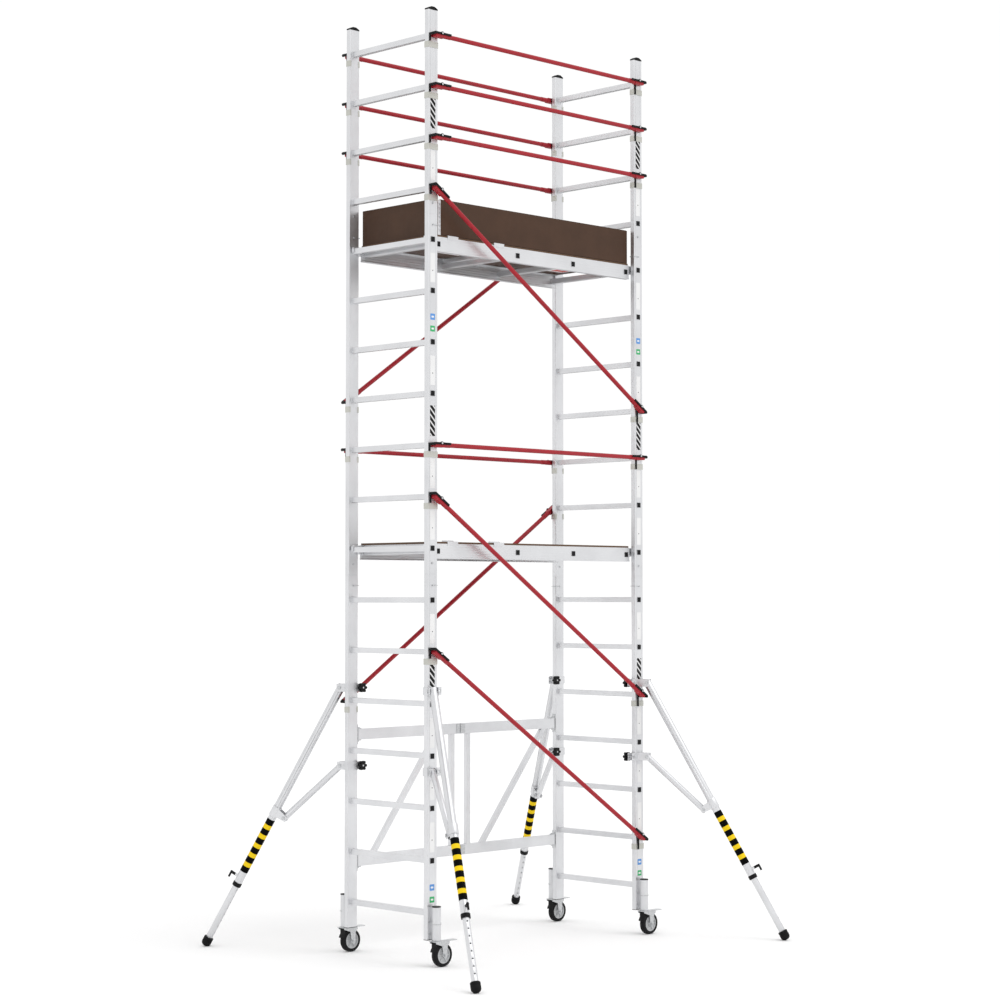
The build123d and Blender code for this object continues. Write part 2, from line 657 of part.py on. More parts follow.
# ---- castors ------------------------------------------------------------------------------------
def caster_centre(sx, sy):
    return sx * HALF_LENGTH, sy * (OUTER_FACE + CASTER_OFFSET)


def caster_sleeve(sx, sy):
    """A round sleeve welded to a plate that is bolted to the stile's foot."""
    x, y = caster_centre(sx, sy)
    low = FRAME_FOOT
    plate_half = HALF_DEEP
    body = box(x - plate_half, x + plate_half, sy * OUTER_FACE, sy * (OUTER_FACE + 4), low + 5, SLEEVE_TOP - 2)
    body += box(x - 14, x + 14, sy * (OUTER_FACE + 4), y, low + 5, SLEEVE_TOP - 2)
    body += rod((x, y, low), (x, y, SLEEVE_TOP), SLEEVE_RADIUS)
    return body - rod((x, y, low - 1), (x, y, SLEEVE_TOP + 1), SLEEVE_BORE)


def sleeve_bolts(sx, sy):
    """Hexagon heads on the sleeve's plate and the clip pin across the sleeve."""
    x, y = caster_centre(sx, sy)
    pieces = []
    for z in (FRAME_FOOT + 30, FRAME_FOOT + 95):
        for side in SIDES:
            seat = Plane(origin=(x + side * 27, sy * (OUTER_FACE + 4), z), z_dir=(0, sy, 0))
            pieces.append(seat * extrude(RegularPolygon(6.5, 6), 5))
    z = FRAME_FOOT + 85
    ring = rod((x, y, z - 2), (x, y, z + 2), SLEEVE_RADIUS + 3)
    ring -= rod((x, y, z - 3), (x, y, z + 3), SLEEVE_RADIUS)
    ring -= box(x - 40, x + 40, sy * OUTER_FACE, y - sy * 4, z - 3, z + 3)
    ring += box(x + SLEEVE_RADIUS + 2, x + SLEEVE_RADIUS + 9, y - 4, y + 4, z - 6, z + 6)
    pieces.append(ring)
    return pieces


def caster_stem(sx, sy):
    """A stem fixed in the sleeve, with a thrust flange and a kingpin below it."""
    x, y = caster_centre(sx, sy)
    flange_low = FORK_TOP + AIR_GAP
    body = rod((x, y, flange_low), (x, y, SLEEVE_TOP - 20), SLEEVE_BORE - SLIP_FIT)
    body += rod((x, y, flange_low), (x, y, FRAME_FOOT), SLEEVE_RADIUS - 1)
    kingpin_low = FORK_TOP - FORK_PLATE - 11
    body += rod((x, y, kingpin_low), (x, y, flange_low), KINGPIN_RADIUS)
    nut_top = FORK_TOP - FORK_PLATE - AIR_GAP
    nut = Plane(origin=(x, y, nut_top - 7)) * extrude(RegularPolygon(10, 6), 7)
    return [body, nut - rod((x, y, kingpin_low), (x, y, FORK_TOP), KINGPIN_RADIUS)]


def pedal_pin(x):
    return x + CASTER_TRAIL + PEDAL_PIN_X, 2 * WHEEL_RADIUS + PEDAL_PIN_CLEAR


def caster_fork(sx, sy):
    """Pressed fork, axle bolt with its nut, and a tyre guard behind the wheel."""
    x, y = caster_centre(sx, sy)
    axle_x = x + CASTER_TRAIL
    low = FORK_TOP - FORK_PLATE
    gap = FORK_GAP / 2
    outer = gap + FORK_PLATE
    crown = box(x - 32, x + 50, y - outer, y + outer, low, FORK_TOP)
    crown -= rod((x, y, low - 1), (x, y, FORK_TOP + 1), KINGPIN_RADIUS + RUN_FIT)
    fork = crown
    for side in SIDES:
        outline = [
            (x - 24, low), (x + 74, low), (x + 74, low - 12), (axle_x + 19, low - 24),
            (axle_x + 13, WHEEL_RADIUS), (axle_x - 13, WHEEL_RADIUS), (axle_x - 21, low - 24), (x - 24, low - 9)]
        cheek = upright(outline, y + side * gap, y + side * outer)
        cheek += rod((axle_x, y + side * gap, WHEEL_RADIUS), (axle_x, y + side * outer, WHEEL_RADIUS), 15)
        fork += cheek
    fork -= rod((axle_x, y - outer - 1, WHEEL_RADIUS), (axle_x, y + outer + 1, WHEEL_RADIUS), AXLE_RADIUS)
    pin_x, pin_z = pedal_pin(x)
    fork -= rod((pin_x, y - outer - 1, pin_z), (pin_x, y + outer + 1, pin_z), PEDAL_PIN_RADIUS + RUN_FIT)
    axle = rod((axle_x, y - outer - 8, WHEEL_RADIUS), (axle_x, y + outer + 8, WHEEL_RADIUS), AXLE_RADIUS)
    for side in SIDES:
        seat = Plane(origin=(axle_x, y + side * outer, WHEEL_RADIUS), z_dir=(0, side, 0))
        axle += seat * extrude(RegularPolygon(9, 6), 6)
    return [fork, axle, tyre_guard(x, y)]


def tyre_guard(x, y):
    """A black shield that follows the tyre behind the stem."""
    axle_x = x + CASTER_TRAIL
    half = FORK_GAP / 2 - 1
    inner = WHEEL_RADIUS + 3
    outer = inner + 4
    low = FORK_TOP - FORK_PLATE
    ring = rod((axle_x, y - half, WHEEL_RADIUS), (axle_x, y + half, WHEEL_RADIUS), outer)
    ring -= rod((axle_x, y - half, WHEEL_RADIUS), (axle_x, y + half, WHEEL_RADIUS), inner)
    reach = outer + 5
    first = math.radians(128)
    last = math.radians(165)
    wedge = [
        (axle_x, WHEEL_RADIUS),
        (axle_x + 2 * reach * math.cos(first), WHEEL_RADIUS + 2 * reach * math.sin(first)),
        (axle_x + 2 * reach * math.cos(last), WHEEL_RADIUS + 2 * reach * math.sin(last))]
    guard = ring & upright(wedge, y - half - 1, y + half + 1)
    post_turn = math.radians(142)
    post_x = axle_x + inner * math.cos(post_turn)
    post_z = WHEEL_RADIUS + inner * math.sin(post_turn)
    return guard + box(post_x - 4, post_x - 1, y - half, y + half, post_z, low)


def caster_wheel(sx, sy):
    """Tyre and spoked hub, turning on the axle bolt."""
    x, y = caster_centre(sx, sy)
    axle_x = x + CASTER_TRAIL
    z = WHEEL_RADIUS
    half = TYRE_WIDTH / 2
    rim = WHEEL_RADIUS - TYRE_DEPTH
    tyre = rod((axle_x, y - half, z), (axle_x, y + half, z), WHEEL_RADIUS)
    tyre = fillet(tyre.edges().filter_by(GeomType.CIRCLE), 7)
    tyre -= rod((axle_x, y - half - 1, z), (axle_x, y + half + 1, z), rim)
    boss = FORK_GAP / 2 - AIR_GAP
    hub = rod((axle_x, y - half + 2, z), (axle_x, y + half - 2, z), rim)
    hub += rod((axle_x, y - boss, z), (axle_x, y + boss, z), 13)
    for side in SIDES:
        recess = rod((axle_x, y + side * 5, z), (axle_x, y + side * (half + 1), z), rim - 6)
        hub -= recess - rod((axle_x, y - boss, z), (axle_x, y + boss, z), 13)
    hub -= rod((axle_x, y - boss - 1, z), (axle_x, y + boss + 1, z), AXLE_RADIUS + RUN_FIT)
    return [tyre, hub]


def brake_pedal(sx, sy):
    """A foot plate over the wheel with a cam below its pin that stops just short of the tyre."""
    x, y = caster_centre(sx, sy)
    pin_x, pin_z = pedal_pin(x)
    half = FORK_GAP / 2 - AIR_GAP
    outer = FORK_GAP / 2 + FORK_PLATE
    plate = box(pin_x - 4, pin_x + PEDAL_REACH, y - half, y + half, pin_z + 3.5, pin_z + 6.5)
    tip_edges = plate.edges().filter_by(Axis.Z).group_by(Axis.X)[-1]
    plate = fillet(tip_edges, 12)
    plate += rod((pin_x, y - half, pin_z), (pin_x, y + half, pin_z), 5)
    plate += box(pin_x - 2.8, pin_x + 1.2, y - 14, y + 14, pin_z - 8.2, pin_z)
    return plate + rod((pin_x, y - outer, pin_z), (pin_x, y + outer, pin_z), PEDAL_PIN_RADIUS)


# ---- stabilisers --------------------------------------------------------------------------------
def arm_plane(sx, sy, z):
    """Local X outwards along the stabiliser, local Z up, origin on the stile's centre line."""
    angle = math.radians(ARM_ANGLE)
    outwards = (sx * math.cos(angle), sy * math.sin(angle), 0)
    return Plane(origin=(sx * HALF_LENGTH, sy * HALF_WIDTH, z), x_dir=outwards, z_dir=(0, 0, 1))


def arm_point(sx, sy, r, z, across=0.0):
    angle = math.radians(ARM_ANGLE)
    return (
        sx * (HALF_LENGTH + r * math.cos(angle)) - sy * across * math.sin(angle),
        sy * (HALF_WIDTH + r * math.sin(angle)) + sx * across * math.cos(angle),
        z)


def leg_place(s, out=0.0):
    """Distance from the stile and height of a point s along the leg and a distance out, square to it."""
    lean = math.radians(LEG_LEAN)
    r = UPPER_PIVOT_R + s * math.sin(lean) + out * math.cos(lean)
    return r, UPPER_CLAMP_Z - s * math.cos(lean) + out * math.sin(lean)


def leg_point(sx, sy, s, out=0.0, across=0.0):
    return arm_point(sx, sy, *leg_place(s, out), across)


def leg_s(z):
    """How far along the leg a height is reached."""
    return (UPPER_CLAMP_Z - z) / math.cos(math.radians(LEG_LEAN))


def ear_foot(across):
    """How far outboard of the stile's centre an ear leaves the stile's outer face."""
    angle = math.radians(ARM_ANGLE)
    reach = (HALF_THICK + across * math.cos(angle)) / math.sin(angle)
    return reach * math.cos(angle) + across * math.sin(angle)


def stile_clamp(sx, sy, z, tube_radius, pivot_r):
    """A bent plate round three sides of the stile with two ears for the tube's pivot bolt."""
    x = sx * HALF_LENGTH
    half = CLAMP_HEIGHT / 2
    low = z - half
    high = z + half
    gap = tube_radius + 0.5
    outboard = x + sx * max(HALF_DEEP + CLAMP_PLATE, ear_foot(gap + CLAMP_PLATE / 2))
    inboard = x - sx * (HALF_DEEP + CLAMP_REACH)
    wrap = box(
        inboard, outboard, sy * (INNER_FACE - CLAMP_PLATE), sy * (OUTER_FACE + CLAMP_PLATE), low, high)
    ears = None
    for side in SIDES:
        near = side * gap
        ear = arm_plane(sx, sy, z) * box(0, pivot_r + 16, near, near + side * CLAMP_PLATE, -half, half)
        ears = ear if ears is None else ears + ear
    ears -= box(x - 400, x + 400, 0, sy * OUTER_FACE, low, high)
    body = wrap + ears
    body -= box(
        x - sx * 500, x + sx * HALF_DEEP, sy * INNER_FACE, sy * OUTER_FACE, low, high)
    stud_x = x - sx * CLAMP_STUD_X
    body -= rod((stud_x, 0, z), (stud_x, sy * 500, z), STUD_RADIUS + SLIP_FIT / 2)
    bolt = arm_bolt(sx, sy, pivot_r, z, gap + CLAMP_PLATE + 1, BOLT_RADIUS + SLIP_FIT / 2)
    return body - bolt


def arm_bolt(sx, sy, r, z, half, radius):
    return rod(arm_point(sx, sy, r, z, -half), arm_point(sx, sy, r, z, half), radius)


def pivot_bolt(sx, sy, r, z, half):
    """A bolt across the arm with a head at each end."""
    bolt = arm_bolt(sx, sy, r, z, half, BOLT_RADIUS)
    for side in SIDES:
        start = arm_point(sx, sy, r, z, side * half)
        away = Vector(*start) - Vector(*arm_point(sx, sy, r, z, 0))
        bolt += Plane(origin=start, z_dir=away) * extrude(RegularPolygon(10, 6), 6)
    return bolt


def clamp_stud(sx, sy, z):
    x = sx * (HALF_LENGTH - CLAMP_STUD_X)
    head = sy * (OUTER_FACE + CLAMP_PLATE)
    inner = sy * (INNER_FACE - CLAMP_PLATE - 26)
    body = rod((x, head, z), (x, inner, z), STUD_RADIUS)
    return body + rod((x, head, z), (x, head + sy * 3, z), STUD_RADIUS + 4)


def clamp_knob(sx, sy, z):
    """A six-armed knob on the stud, inside the tower."""
    x = sx * (HALF_LENGTH - CLAMP_STUD_X)
    seat = sy * (INNER_FACE - CLAMP_PLATE - AIR_GAP)
    shoulder = seat - sy * 8
    end = seat - sy * 26
    knob = rod((x, seat, z), (x, shoulder, z), 11)
    knob += rod((x, shoulder, z), (x, end, z), KNOB_RADIUS - 9)
    for step in range(6):
        turn = math.radians(60 * step)
        lobe_x = x + (KNOB_RADIUS - 8) * math.cos(turn)
        lobe_z = z + (KNOB_RADIUS - 8) * math.sin(turn)
        knob += rod((lobe_x, shoulder, lobe_z), (lobe_x, end, lobe_z), 8)
    return knob - rod((x, seat + sy, z), (x, end - sy, z), STUD_RADIUS + RUN_FIT)


def stabiliser_tube(sx, sy):
    """The outer leg tube with a boss for its locking pin."""
    top = leg_point(sx, sy, -LEG_HEAD)
    bottom = leg_point(sx, sy, leg_s(COLLAR_Z))
    pin_s = leg_s(HANDLE_Z)
    body = rod(top, bottom, LEG_RADIUS)
    body += rod(leg_point(sx, sy, pin_s, 10), leg_point(sx, sy, pin_s, LEG_RADIUS + 12), 9)
    body -= rod(top, bottom, LEG_RADIUS - LEG_WALL)
    body -= rod(leg_point(sx, sy, pin_s, 5), leg_point(sx, sy, pin_s, LEG_RADIUS + 20), 4 + AIR_GAP)
    bolt = arm_bolt(sx, sy, UPPER_PIVOT_R, UPPER_CLAMP_Z, LEG_RADIUS + 2, BOLT_RADIUS + SLIP_FIT / 2)
    return body - bolt


def leg_collar(sx, sy):
    """A black guide ring over the lower end of the outer tube."""
    end = leg_s(COLLAR_Z)
    half = COLLAR_LENGTH / 2
    bore = LEG_RADIUS - LEG_WALL
    body = rod(leg_point(sx, sy, end - half), leg_point(sx, sy, end + half), COLLAR_RADIUS)
    body -= rod(leg_point(sx, sy, end - half - 1), leg_point(sx, sy, end), LEG_RADIUS)
    return body - rod(leg_point(sx, sy, end - half - 1), leg_point(sx, sy, end + half + 1), bore)


def leg_tube(sx, sy):
    """The inner leg with adjustment holes at a fixed pitch."""
    end = leg_s(COLLAR_Z)
    top = end - INNER_LEG_OVERLAP
    bottom = leg_s(0) - 18
    body = tube(leg_point(sx, sy, top), leg_point(sx, sy, bottom), INNER_LEG_RADIUS, INNER_LEG_WALL)
    s = end + 32
    while s < bottom - FOOT_LENGTH:
        body -= rod(leg_point(sx, sy, s, -30), leg_point(sx, sy, s, 30), HOLE_RADIUS)
        s += HOLE_PITCH
    return body


def leg_foot(sx, sy):
    """A rubber foot, cut flat where it stands."""
    ground = leg_s(0)
    body = rod(leg_point(sx, sy, ground - FOOT_LENGTH), leg_point(sx, sy, ground + 25), FOOT_RADIUS)
    body -= rod(
        leg_point(sx, sy, ground - FOOT_LENGTH - 1), leg_point(sx, sy, ground - 18), INNER_LEG_RADIUS + 0.1)
    x, y, z = leg_point(sx, sy, ground)
    return body - box(x - 100, x + 100, y - 100, y + 100, -100, 0)


def leg_handle(sx, sy):
    """A spring pin with a bent grip that locks the inner leg."""
    pin_s = leg_s(HANDLE_Z)
    tip = INNER_LEG_RADIUS + AIR_GAP
    grip = LEG_RADIUS + HANDLE_REACH
    body = rod(leg_point(sx, sy, pin_s, tip), leg_point(sx, sy, pin_s, grip), 4)
    body += rod(leg_point(sx, sy, pin_s, LEG_RADIUS + 12 + AIR_GAP), leg_point(sx, sy, pin_s, grip), 8)
    return body + rod(leg_point(sx, sy, pin_s - 7, grip), leg_point(sx, sy, pin_s + HANDLE_GRIP, grip), 6)


def brace_strut(sx, sy):
    """The lower strut from its clamp to the leg."""
    start = Vector(*arm_point(sx, sy, LOWER_PIVOT_R, LOWER_CLAMP_Z))
    foot = leg_place(STRUT_ALONG, -STRUT_INSET)
    end = Vector(*arm_point(sx, sy, *foot))
    run = (end - start).normalized()
    body = tube(start - run * 14, end + run * 15, STRUT_RADIUS, STRUT_WALL)
    for r, z in ((LOWER_PIVOT_R, LOWER_CLAMP_Z), foot):
        body -= arm_bolt(sx, sy, r, z, STRUT_RADIUS + 2, BOLT_RADIUS + SLIP_FIT / 2)
    return body


def leg_bracket(sx, sy):
    """A split sleeve on the leg with two ears for the strut."""
    s = STRUT_ALONG
    gap = STRUT_RADIUS + 0.5
    body = rod(leg_point(sx, sy, s - 34), leg_point(sx, sy, s + 24), LEG_RADIUS + 4)
    for side in SIDES:
        corners = [(s - 30, -10), (s + 20, -10), (s + 15, -STRUT_INSET - 15), (s - 15, -STRUT_INSET - 15)]
        points = [leg_point(sx, sy, along, out, side * gap) for along, out in corners]
        face = make_face(Polyline(*points, close=True))
        across = Vector(*leg_point(sx, sy, s, 0, side)) - Vector(*leg_point(sx, sy, s, 0, 0))
        body += extrude(face, CLAMP_PLATE - 1, dir=across)
    body -= rod(leg_point(sx, sy, s - 60), leg_point(sx, sy, s + 60), LEG_RADIUS)
    foot = leg_place(STRUT_ALONG, -STRUT_INSET)
    return body - arm_bolt(sx, sy, *foot, gap + 10, BOLT_RADIUS + SLIP_FIT / 2)


def stabiliser_bolts(sx, sy):
    pieces = [
        pivot_bolt(sx, sy, UPPER_PIVOT_R, UPPER_CLAMP_Z, LEG_RADIUS + 0.5 + CLAMP_PLATE),
        pivot_bolt(sx, sy, LOWER_PIVOT_R, LOWER_CLAMP_Z, STRUT_RADIUS + 0.5 + CLAMP_PLATE),
        pivot_bolt(sx, sy, *leg_place(STRUT_ALONG, -STRUT_INSET), STRUT_RADIUS + 0.5 + CLAMP_PLATE - 1)]
    return pieces + [clamp_stud(sx, sy, z) for z in (UPPER_CLAMP_Z, LOWER_CLAMP_Z)]


# ---- folding base frame -------------------------------------------------------------------------
def square_tube(start, end, height, thick, wall):
    """A rectangular tube in the rear plane from one (x, z) point to another."""
    start = Vector(start[0], HALF_WIDTH, start[1])
    run = Vector(end[0], HALF_WIDTH, end[1]) - start
    plane = Plane(origin=start, x_dir=(0, 1, 0), z_dir=run)
    section = Rectangle(thick, height) - Rectangle(thick - 2 * wall, height - 2 * wall)
    return plane * extrude(section, run.length)


def folding_leaf(side, diagonal):
    """Two rails, an upright near the seam and a diagonal."""
    low, high = FOLD_RAILS
    half = FOLD_RAIL_HEIGHT / 2
    outer = INNER_EDGE - 8
    pin_x = side * (INNER_EDGE - 19)
    rails = []
    keep_out = []
    for z in FOLD_RAILS:
        rail = square_tube((side * 1.0, z), (side * outer, z), FOLD_RAIL_HEIGHT, FOLD_RAIL_THICK, FOLD_WALL)
        hole = FOLD_PIN_RADIUS + SLIP_FIT / 2
        rails.append(rail - rod((pin_x, HALF_WIDTH, z - 40), (pin_x, HALF_WIDTH, z + 40), hole))
        keep_out.append(box(-INNER_EDGE, INNER_EDGE, HALF_WIDTH - 20, HALF_WIDTH + 20, z - half, z + half))
    post_x = side * FOLD_POST_X
    post = square_tube((post_x, low + half), (post_x, high - half), FOLD_BAR, FOLD_RAIL_THICK, FOLD_WALL)
    start, end = diagonal
    bar = square_tube((start, low), (end, high), FOLD_BAR, FOLD_RAIL_THICK, FOLD_WALL)
    for block in keep_out:
        bar -= block
    return rails + [post, bar]


def fold_end_hinge(side, z):
    """A bracket on the stile's inner edge with two lugs and a pin through the rail's end."""
    edge = side * INNER_EDGE
    half_y = HALF_THICK - 1
    body = box(edge, edge - side * 4, HALF_WIDTH - half_y, HALF_WIDTH + half_y,
               z - FOLD_HINGE_HEIGHT / 2, z + FOLD_HINGE_HEIGHT / 2)
    lug_in = FOLD_RAIL_HEIGHT / 2 + AIR_GAP
    for up in SIDES:
        body += box(
            edge, edge - side * 30, HALF_WIDTH - 12, HALF_WIDTH + 12, z + up * lug_in, z + up * (lug_in + 5))
    pin_x = edge - side * 19
    reach = lug_in + 5
    hole = rod((pin_x, HALF_WIDTH, z - reach - 1), (pin_x, HALF_WIDTH, z + reach + 1), FOLD_PIN_RADIUS)
    pin = rod((pin_x, HALF_WIDTH, z - reach - 6), (pin_x, HALF_WIDTH, z + reach), FOLD_PIN_RADIUS)
    pin += rod((pin_x, HALF_WIDTH, z + reach), (pin_x, HALF_WIDTH, z + reach + 4), FOLD_PIN_RADIUS + 3)
    return [body - hole, pin]


def fold_seam_hinge(z):
    """A butt hinge over the seam on the inner face of a rail, with its pin."""
    face = HALF_WIDTH - FOLD_RAIL_THICK / 2
    axis_y = face - 5.0
    pieces = []
    for side in SIDES:
        leaf = box(side * 0.5, side * 34, face - 2.5, face, z - 26, z + 26)
        for step in range(4):
            low = z - 26 + 13 * step
            if (step % 2 == 0) == (side < 0):
                leaf += rod((0, axis_y, low), (0, axis_y, low + 13), 5)
        leaf -= box(0, -side * 40, face - 2.5, face + 1, z - 26, z + 26)
        pieces.append(leaf - rod((0, axis_y, z - 30), (0, axis_y, z + 30), 3))
    pieces.append(rod((0, axis_y, z - 28), (0, axis_y, z + 28), 3))
    return pieces


# ---- every node ---------------------------------------------------------------------------------
def all_nodes():
    nodes = {}
    first = 1
    for name, count in zip(("base", "middle", "guard"), SECTIONS):
        for side, sx in (("left", -1), ("right", 1)):
            nodes[f"{side}_{name}_frame"] = ladder_frame(sx, first, count)
        first += count
    nodes["frame_joint_fixings"] = spigots() + joint_fixings()
    nodes["end_plugs"] = end_plugs()

    claws = claw_frames()
    nodes["brace_tubes"] = [brace_tube(*brace) for brace in brace_ends()]
    nodes["brace_claws"] = [claw(frame) for frame in claws]
    nodes["brace_latches"] = [latch(frame) for frame in claws]
    nodes["brace_stile_clips"] = [stile_clip(frame) for frame in claws]

    for name, number in zip(("lower", "upper"), DECK_RUNGS):
        nodes[f"{name}_hatch"] = hatch(number)
    nodes["deck_frames"] = [piece for number in DECK_RUNGS for piece in deck_frame(number)]
    nodes["deck_panels"] = [deck_panel(number) for number in DECK_RUNGS]
    hinges = [piece for number in DECK_RUNGS for piece in fixed_hinges(number)]
    nodes["deck_fittings"] = hinges + toe_posts()
    nodes["toe_boards"] = toe_boards()

    nodes["folding_left_leaf"] = folding_leaf(-1, (FOLD_INSETS[0] - INNER_EDGE, FOLD_LEFT_TOP))
    nodes["folding_right_leaf"] = folding_leaf(1, (FOLD_RIGHT_FOOT, INNER_EDGE - FOLD_INSETS[1]))
    ends = [piece for side in SIDES for z in FOLD_RAILS for piece in fold_end_hinge(side, z)]
    nodes["folding_hinges"] = ends + [piece for z in FOLD_RAILS for piece in fold_seam_hinge(z)]

    corners = list(CORNERS.values())
    nodes["caster_sleeves"] = [caster_sleeve(*corner) for corner in corners]
    nodes["caster_stems"] = [
        piece for corner in corners for piece in caster_stem(*corner) + sleeve_bolts(*corner)]
    nodes["stabiliser_clamps"] = [
        stile_clamp(*corner, z, radius, pivot_r) for corner in corners
        for z, radius, pivot_r in (
            (UPPER_CLAMP_Z, LEG_RADIUS, UPPER_PIVOT_R), (LOWER_CLAMP_Z, STRUT_RADIUS, LOWER_PIVOT_R))]
    nodes["stabiliser_tubes"] = [stabiliser_tube(*corner) for corner in corners]
    nodes["stabiliser_struts"] = [piece(*corner) for corner in corners for piece in (brace_strut, leg_bracket)]
    nodes["stabiliser_collars"] = [leg_collar(*corner) for corner in corners]
    nodes["stabiliser_bolts"] = [piece for corner in corners for piece in stabiliser_bolts(*corner)]

    for name, corner in CORNERS.items():
        nodes[f"caster_fork_{name}"] = caster_fork(*corner)
        nodes[f"caster_wheel_{name}"] = caster_wheel(*corner)
        nodes[f"brake_pedal_{name}"] = [brake_pedal(*corner)]
        nodes[f"leg_tube_{name}"] = [leg_tube(*corner)]
        nodes[f"leg_foot_{name}"] = [leg_foot(*corner)]
        nodes[f"leg_handle_{name}"] = [leg_handle(*corner)]
        nodes[f"knob_upper_{name}"] = [clamp_knob(*corner, UPPER_CLAMP_Z)]
        nodes[f"knob_lower_{name}"] = [clamp_knob(*corner, LOWER_CLAMP_Z)]
    return nodes


os.makedirs("parts", exist_ok=True)
for node, pieces in all_nodes().items():
    write(node, pieces)
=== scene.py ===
# %% [markdown]
# # A mobile tower scaffold
#
# The tower's frame, decks, braces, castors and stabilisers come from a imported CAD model. This lesson
# gives every one of those parts its finish, eases its edges, and models the small things that a CAD
# file leaves plain: tyres and hubs, rubber feet, hazard tape, weld beads, labels and rivets.
# %% Load the frame
import json
import math

import bmesh
import bpy
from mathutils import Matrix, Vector


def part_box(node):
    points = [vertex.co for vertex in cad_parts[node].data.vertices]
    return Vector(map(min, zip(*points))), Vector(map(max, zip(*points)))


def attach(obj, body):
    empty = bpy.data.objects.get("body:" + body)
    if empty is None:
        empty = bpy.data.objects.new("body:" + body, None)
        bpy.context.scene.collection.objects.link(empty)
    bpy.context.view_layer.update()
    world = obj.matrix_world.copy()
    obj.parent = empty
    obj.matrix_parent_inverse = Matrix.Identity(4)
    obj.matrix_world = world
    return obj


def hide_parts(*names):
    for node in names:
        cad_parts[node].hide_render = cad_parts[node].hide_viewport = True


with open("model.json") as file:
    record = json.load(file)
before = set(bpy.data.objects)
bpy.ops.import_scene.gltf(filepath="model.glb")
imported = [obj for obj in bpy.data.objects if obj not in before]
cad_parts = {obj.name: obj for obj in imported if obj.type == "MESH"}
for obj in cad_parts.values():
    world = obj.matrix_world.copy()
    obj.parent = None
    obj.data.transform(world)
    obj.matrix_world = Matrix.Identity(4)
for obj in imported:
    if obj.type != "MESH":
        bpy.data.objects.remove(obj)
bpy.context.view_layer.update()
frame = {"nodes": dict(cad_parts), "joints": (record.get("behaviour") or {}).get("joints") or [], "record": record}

bpy.ops.object.select_all(action="DESELECT")
CORNERS = {"fl": (-1, -1), "fr": (1, -1), "rl": (-1, 1), "rr": (1, 1)}
joints = {joint["name"]: joint for joint in frame["joints"]}
mounts = {mount["name"]: mount for mount in frame["record"]["mounts"]}

# %% [markdown]
# ## Helpers for materials
#
# Every finish starts from one Principled shader. Its pattern is read from Object coordinates, so it
# stays with the part when a joint moves. A number that is the same all over goes on the shader's own
# socket. Only what really varies, such as roughness or colour, is driven by a texture.
# %% Material helpers
def start_material(name, colour, metallic, roughness, specular=0.5):
    material = bpy.data.materials.new(name)
    material.use_nodes = True
    shader = material.node_tree.nodes["Principled BSDF"]
    shader.inputs["Specular IOR Level"].default_value = specular
    shader.inputs["Base Color"].default_value = (*colour, 1)
    shader.inputs["Metallic"].default_value = metallic
    shader.inputs["Roughness"].default_value = roughness
    return material, shader


def add(material, kind, **settings):
    node = material.node_tree.nodes.new("ShaderNode" + kind)
    for key, value in settings.items():
        setattr(node, key, value)
    return node


def join(material, output, socket):
    material.node_tree.links.new(output, socket)


def object_noise(material, scale, stretch=(1, 1, 1), detail=3.0):
    """Noise over the part, finer across the stretch's large numbers."""
    place = add(material, "TexCoord")
    mapping = add(material, "Mapping")
    mapping.inputs["Scale"].default_value = stretch
    noise = add(material, "TexNoise")
    noise.inputs["Scale"].default_value = scale
    noise.inputs["Detail"].default_value = detail
    join(material, place.outputs["Object"], mapping.inputs["Vector"])
    join(material, mapping.outputs["Vector"], noise.inputs["Vector"])
    return noise.outputs["Fac"]


def vary(material, fac, low, high, socket):
    """Drives a socket between two numbers."""
    span = add(material, "MapRange")
    span.inputs["From Min"].default_value = 0.3
    span.inputs["From Max"].default_value = 0.7
    span.inputs["To Min"].default_value = low
    span.inputs["To Max"].default_value = high
    join(material, fac, span.inputs["Value"])
    join(material, span.outputs["Result"], socket)


def blend_colours(material, fac, first, second, socket):
    """Drives a colour socket between two colours."""
    ramp = add(material, "ValToRGB")
    ramp.color_ramp.elements[0].position = 0.3
    ramp.color_ramp.elements[1].position = 0.7
    ramp.color_ramp.elements[0].color = (*first, 1)
    ramp.color_ramp.elements[1].color = (*second, 1)
    join(material, fac, ramp.inputs["Fac"])
    join(material, ramp.outputs["Color"], socket)


def add_bump(material, shader, height, depth, strength=1.0):
    bump = add(material, "Bump")
    bump.inputs["Distance"].default_value = depth
    bump.inputs["Strength"].default_value = strength
    join(material, height, bump.inputs["Height"])
    join(material, bump.outputs["Normal"], shader.inputs["Normal"])
    return bump


print("material helpers ready")

# %% [markdown]
# ## Extruded aluminium
#
# Mill-finish extrusions are satin, with faint die lines along their length. Noise that is squeezed
# across the length and stretched along it gives those lines, and a soft wave gives the shallow flutes
# of the stiles and beams. Painting them by hand would tie them to one part. The stiles run upright
# and the rungs run across, so the frame's finish chooses the direction by where the point is.
# %% Aluminium
ALUMINIUM = (0.73, 0.735, 0.75)
ALUMINIUM_DULL = (0.66, 0.665, 0.68)
CLIP_GREY = (0.60, 0.60, 0.56)
CLIP_GREY_DULL = (0.52, 0.52, 0.48)
METALLIC = 0.88
SHEEN = 0.38
EXTRUDED_SKIN = (0.30, 0.46)
CAST_SKIN = (0.42, 0.60)
CLOUD_SCALE = 5.0
DIE_LINE_SCALE = 260.0
ALONG_X = (0.02, 1, 1)
ALONG_Y = (1, 0.02, 1)
ALONG_Z = (1, 1, 0.02)
ALONG_LEAF = (0.05, 1, 0.05)
ALONG_TUBE = (1, 1, 0.05)
BEAM_FLUTES = 22.0
STILE_FLUTES_X = 18.0
STILE_FLUTES_Y = 31.0
RUNG_RIDGES = 75.0


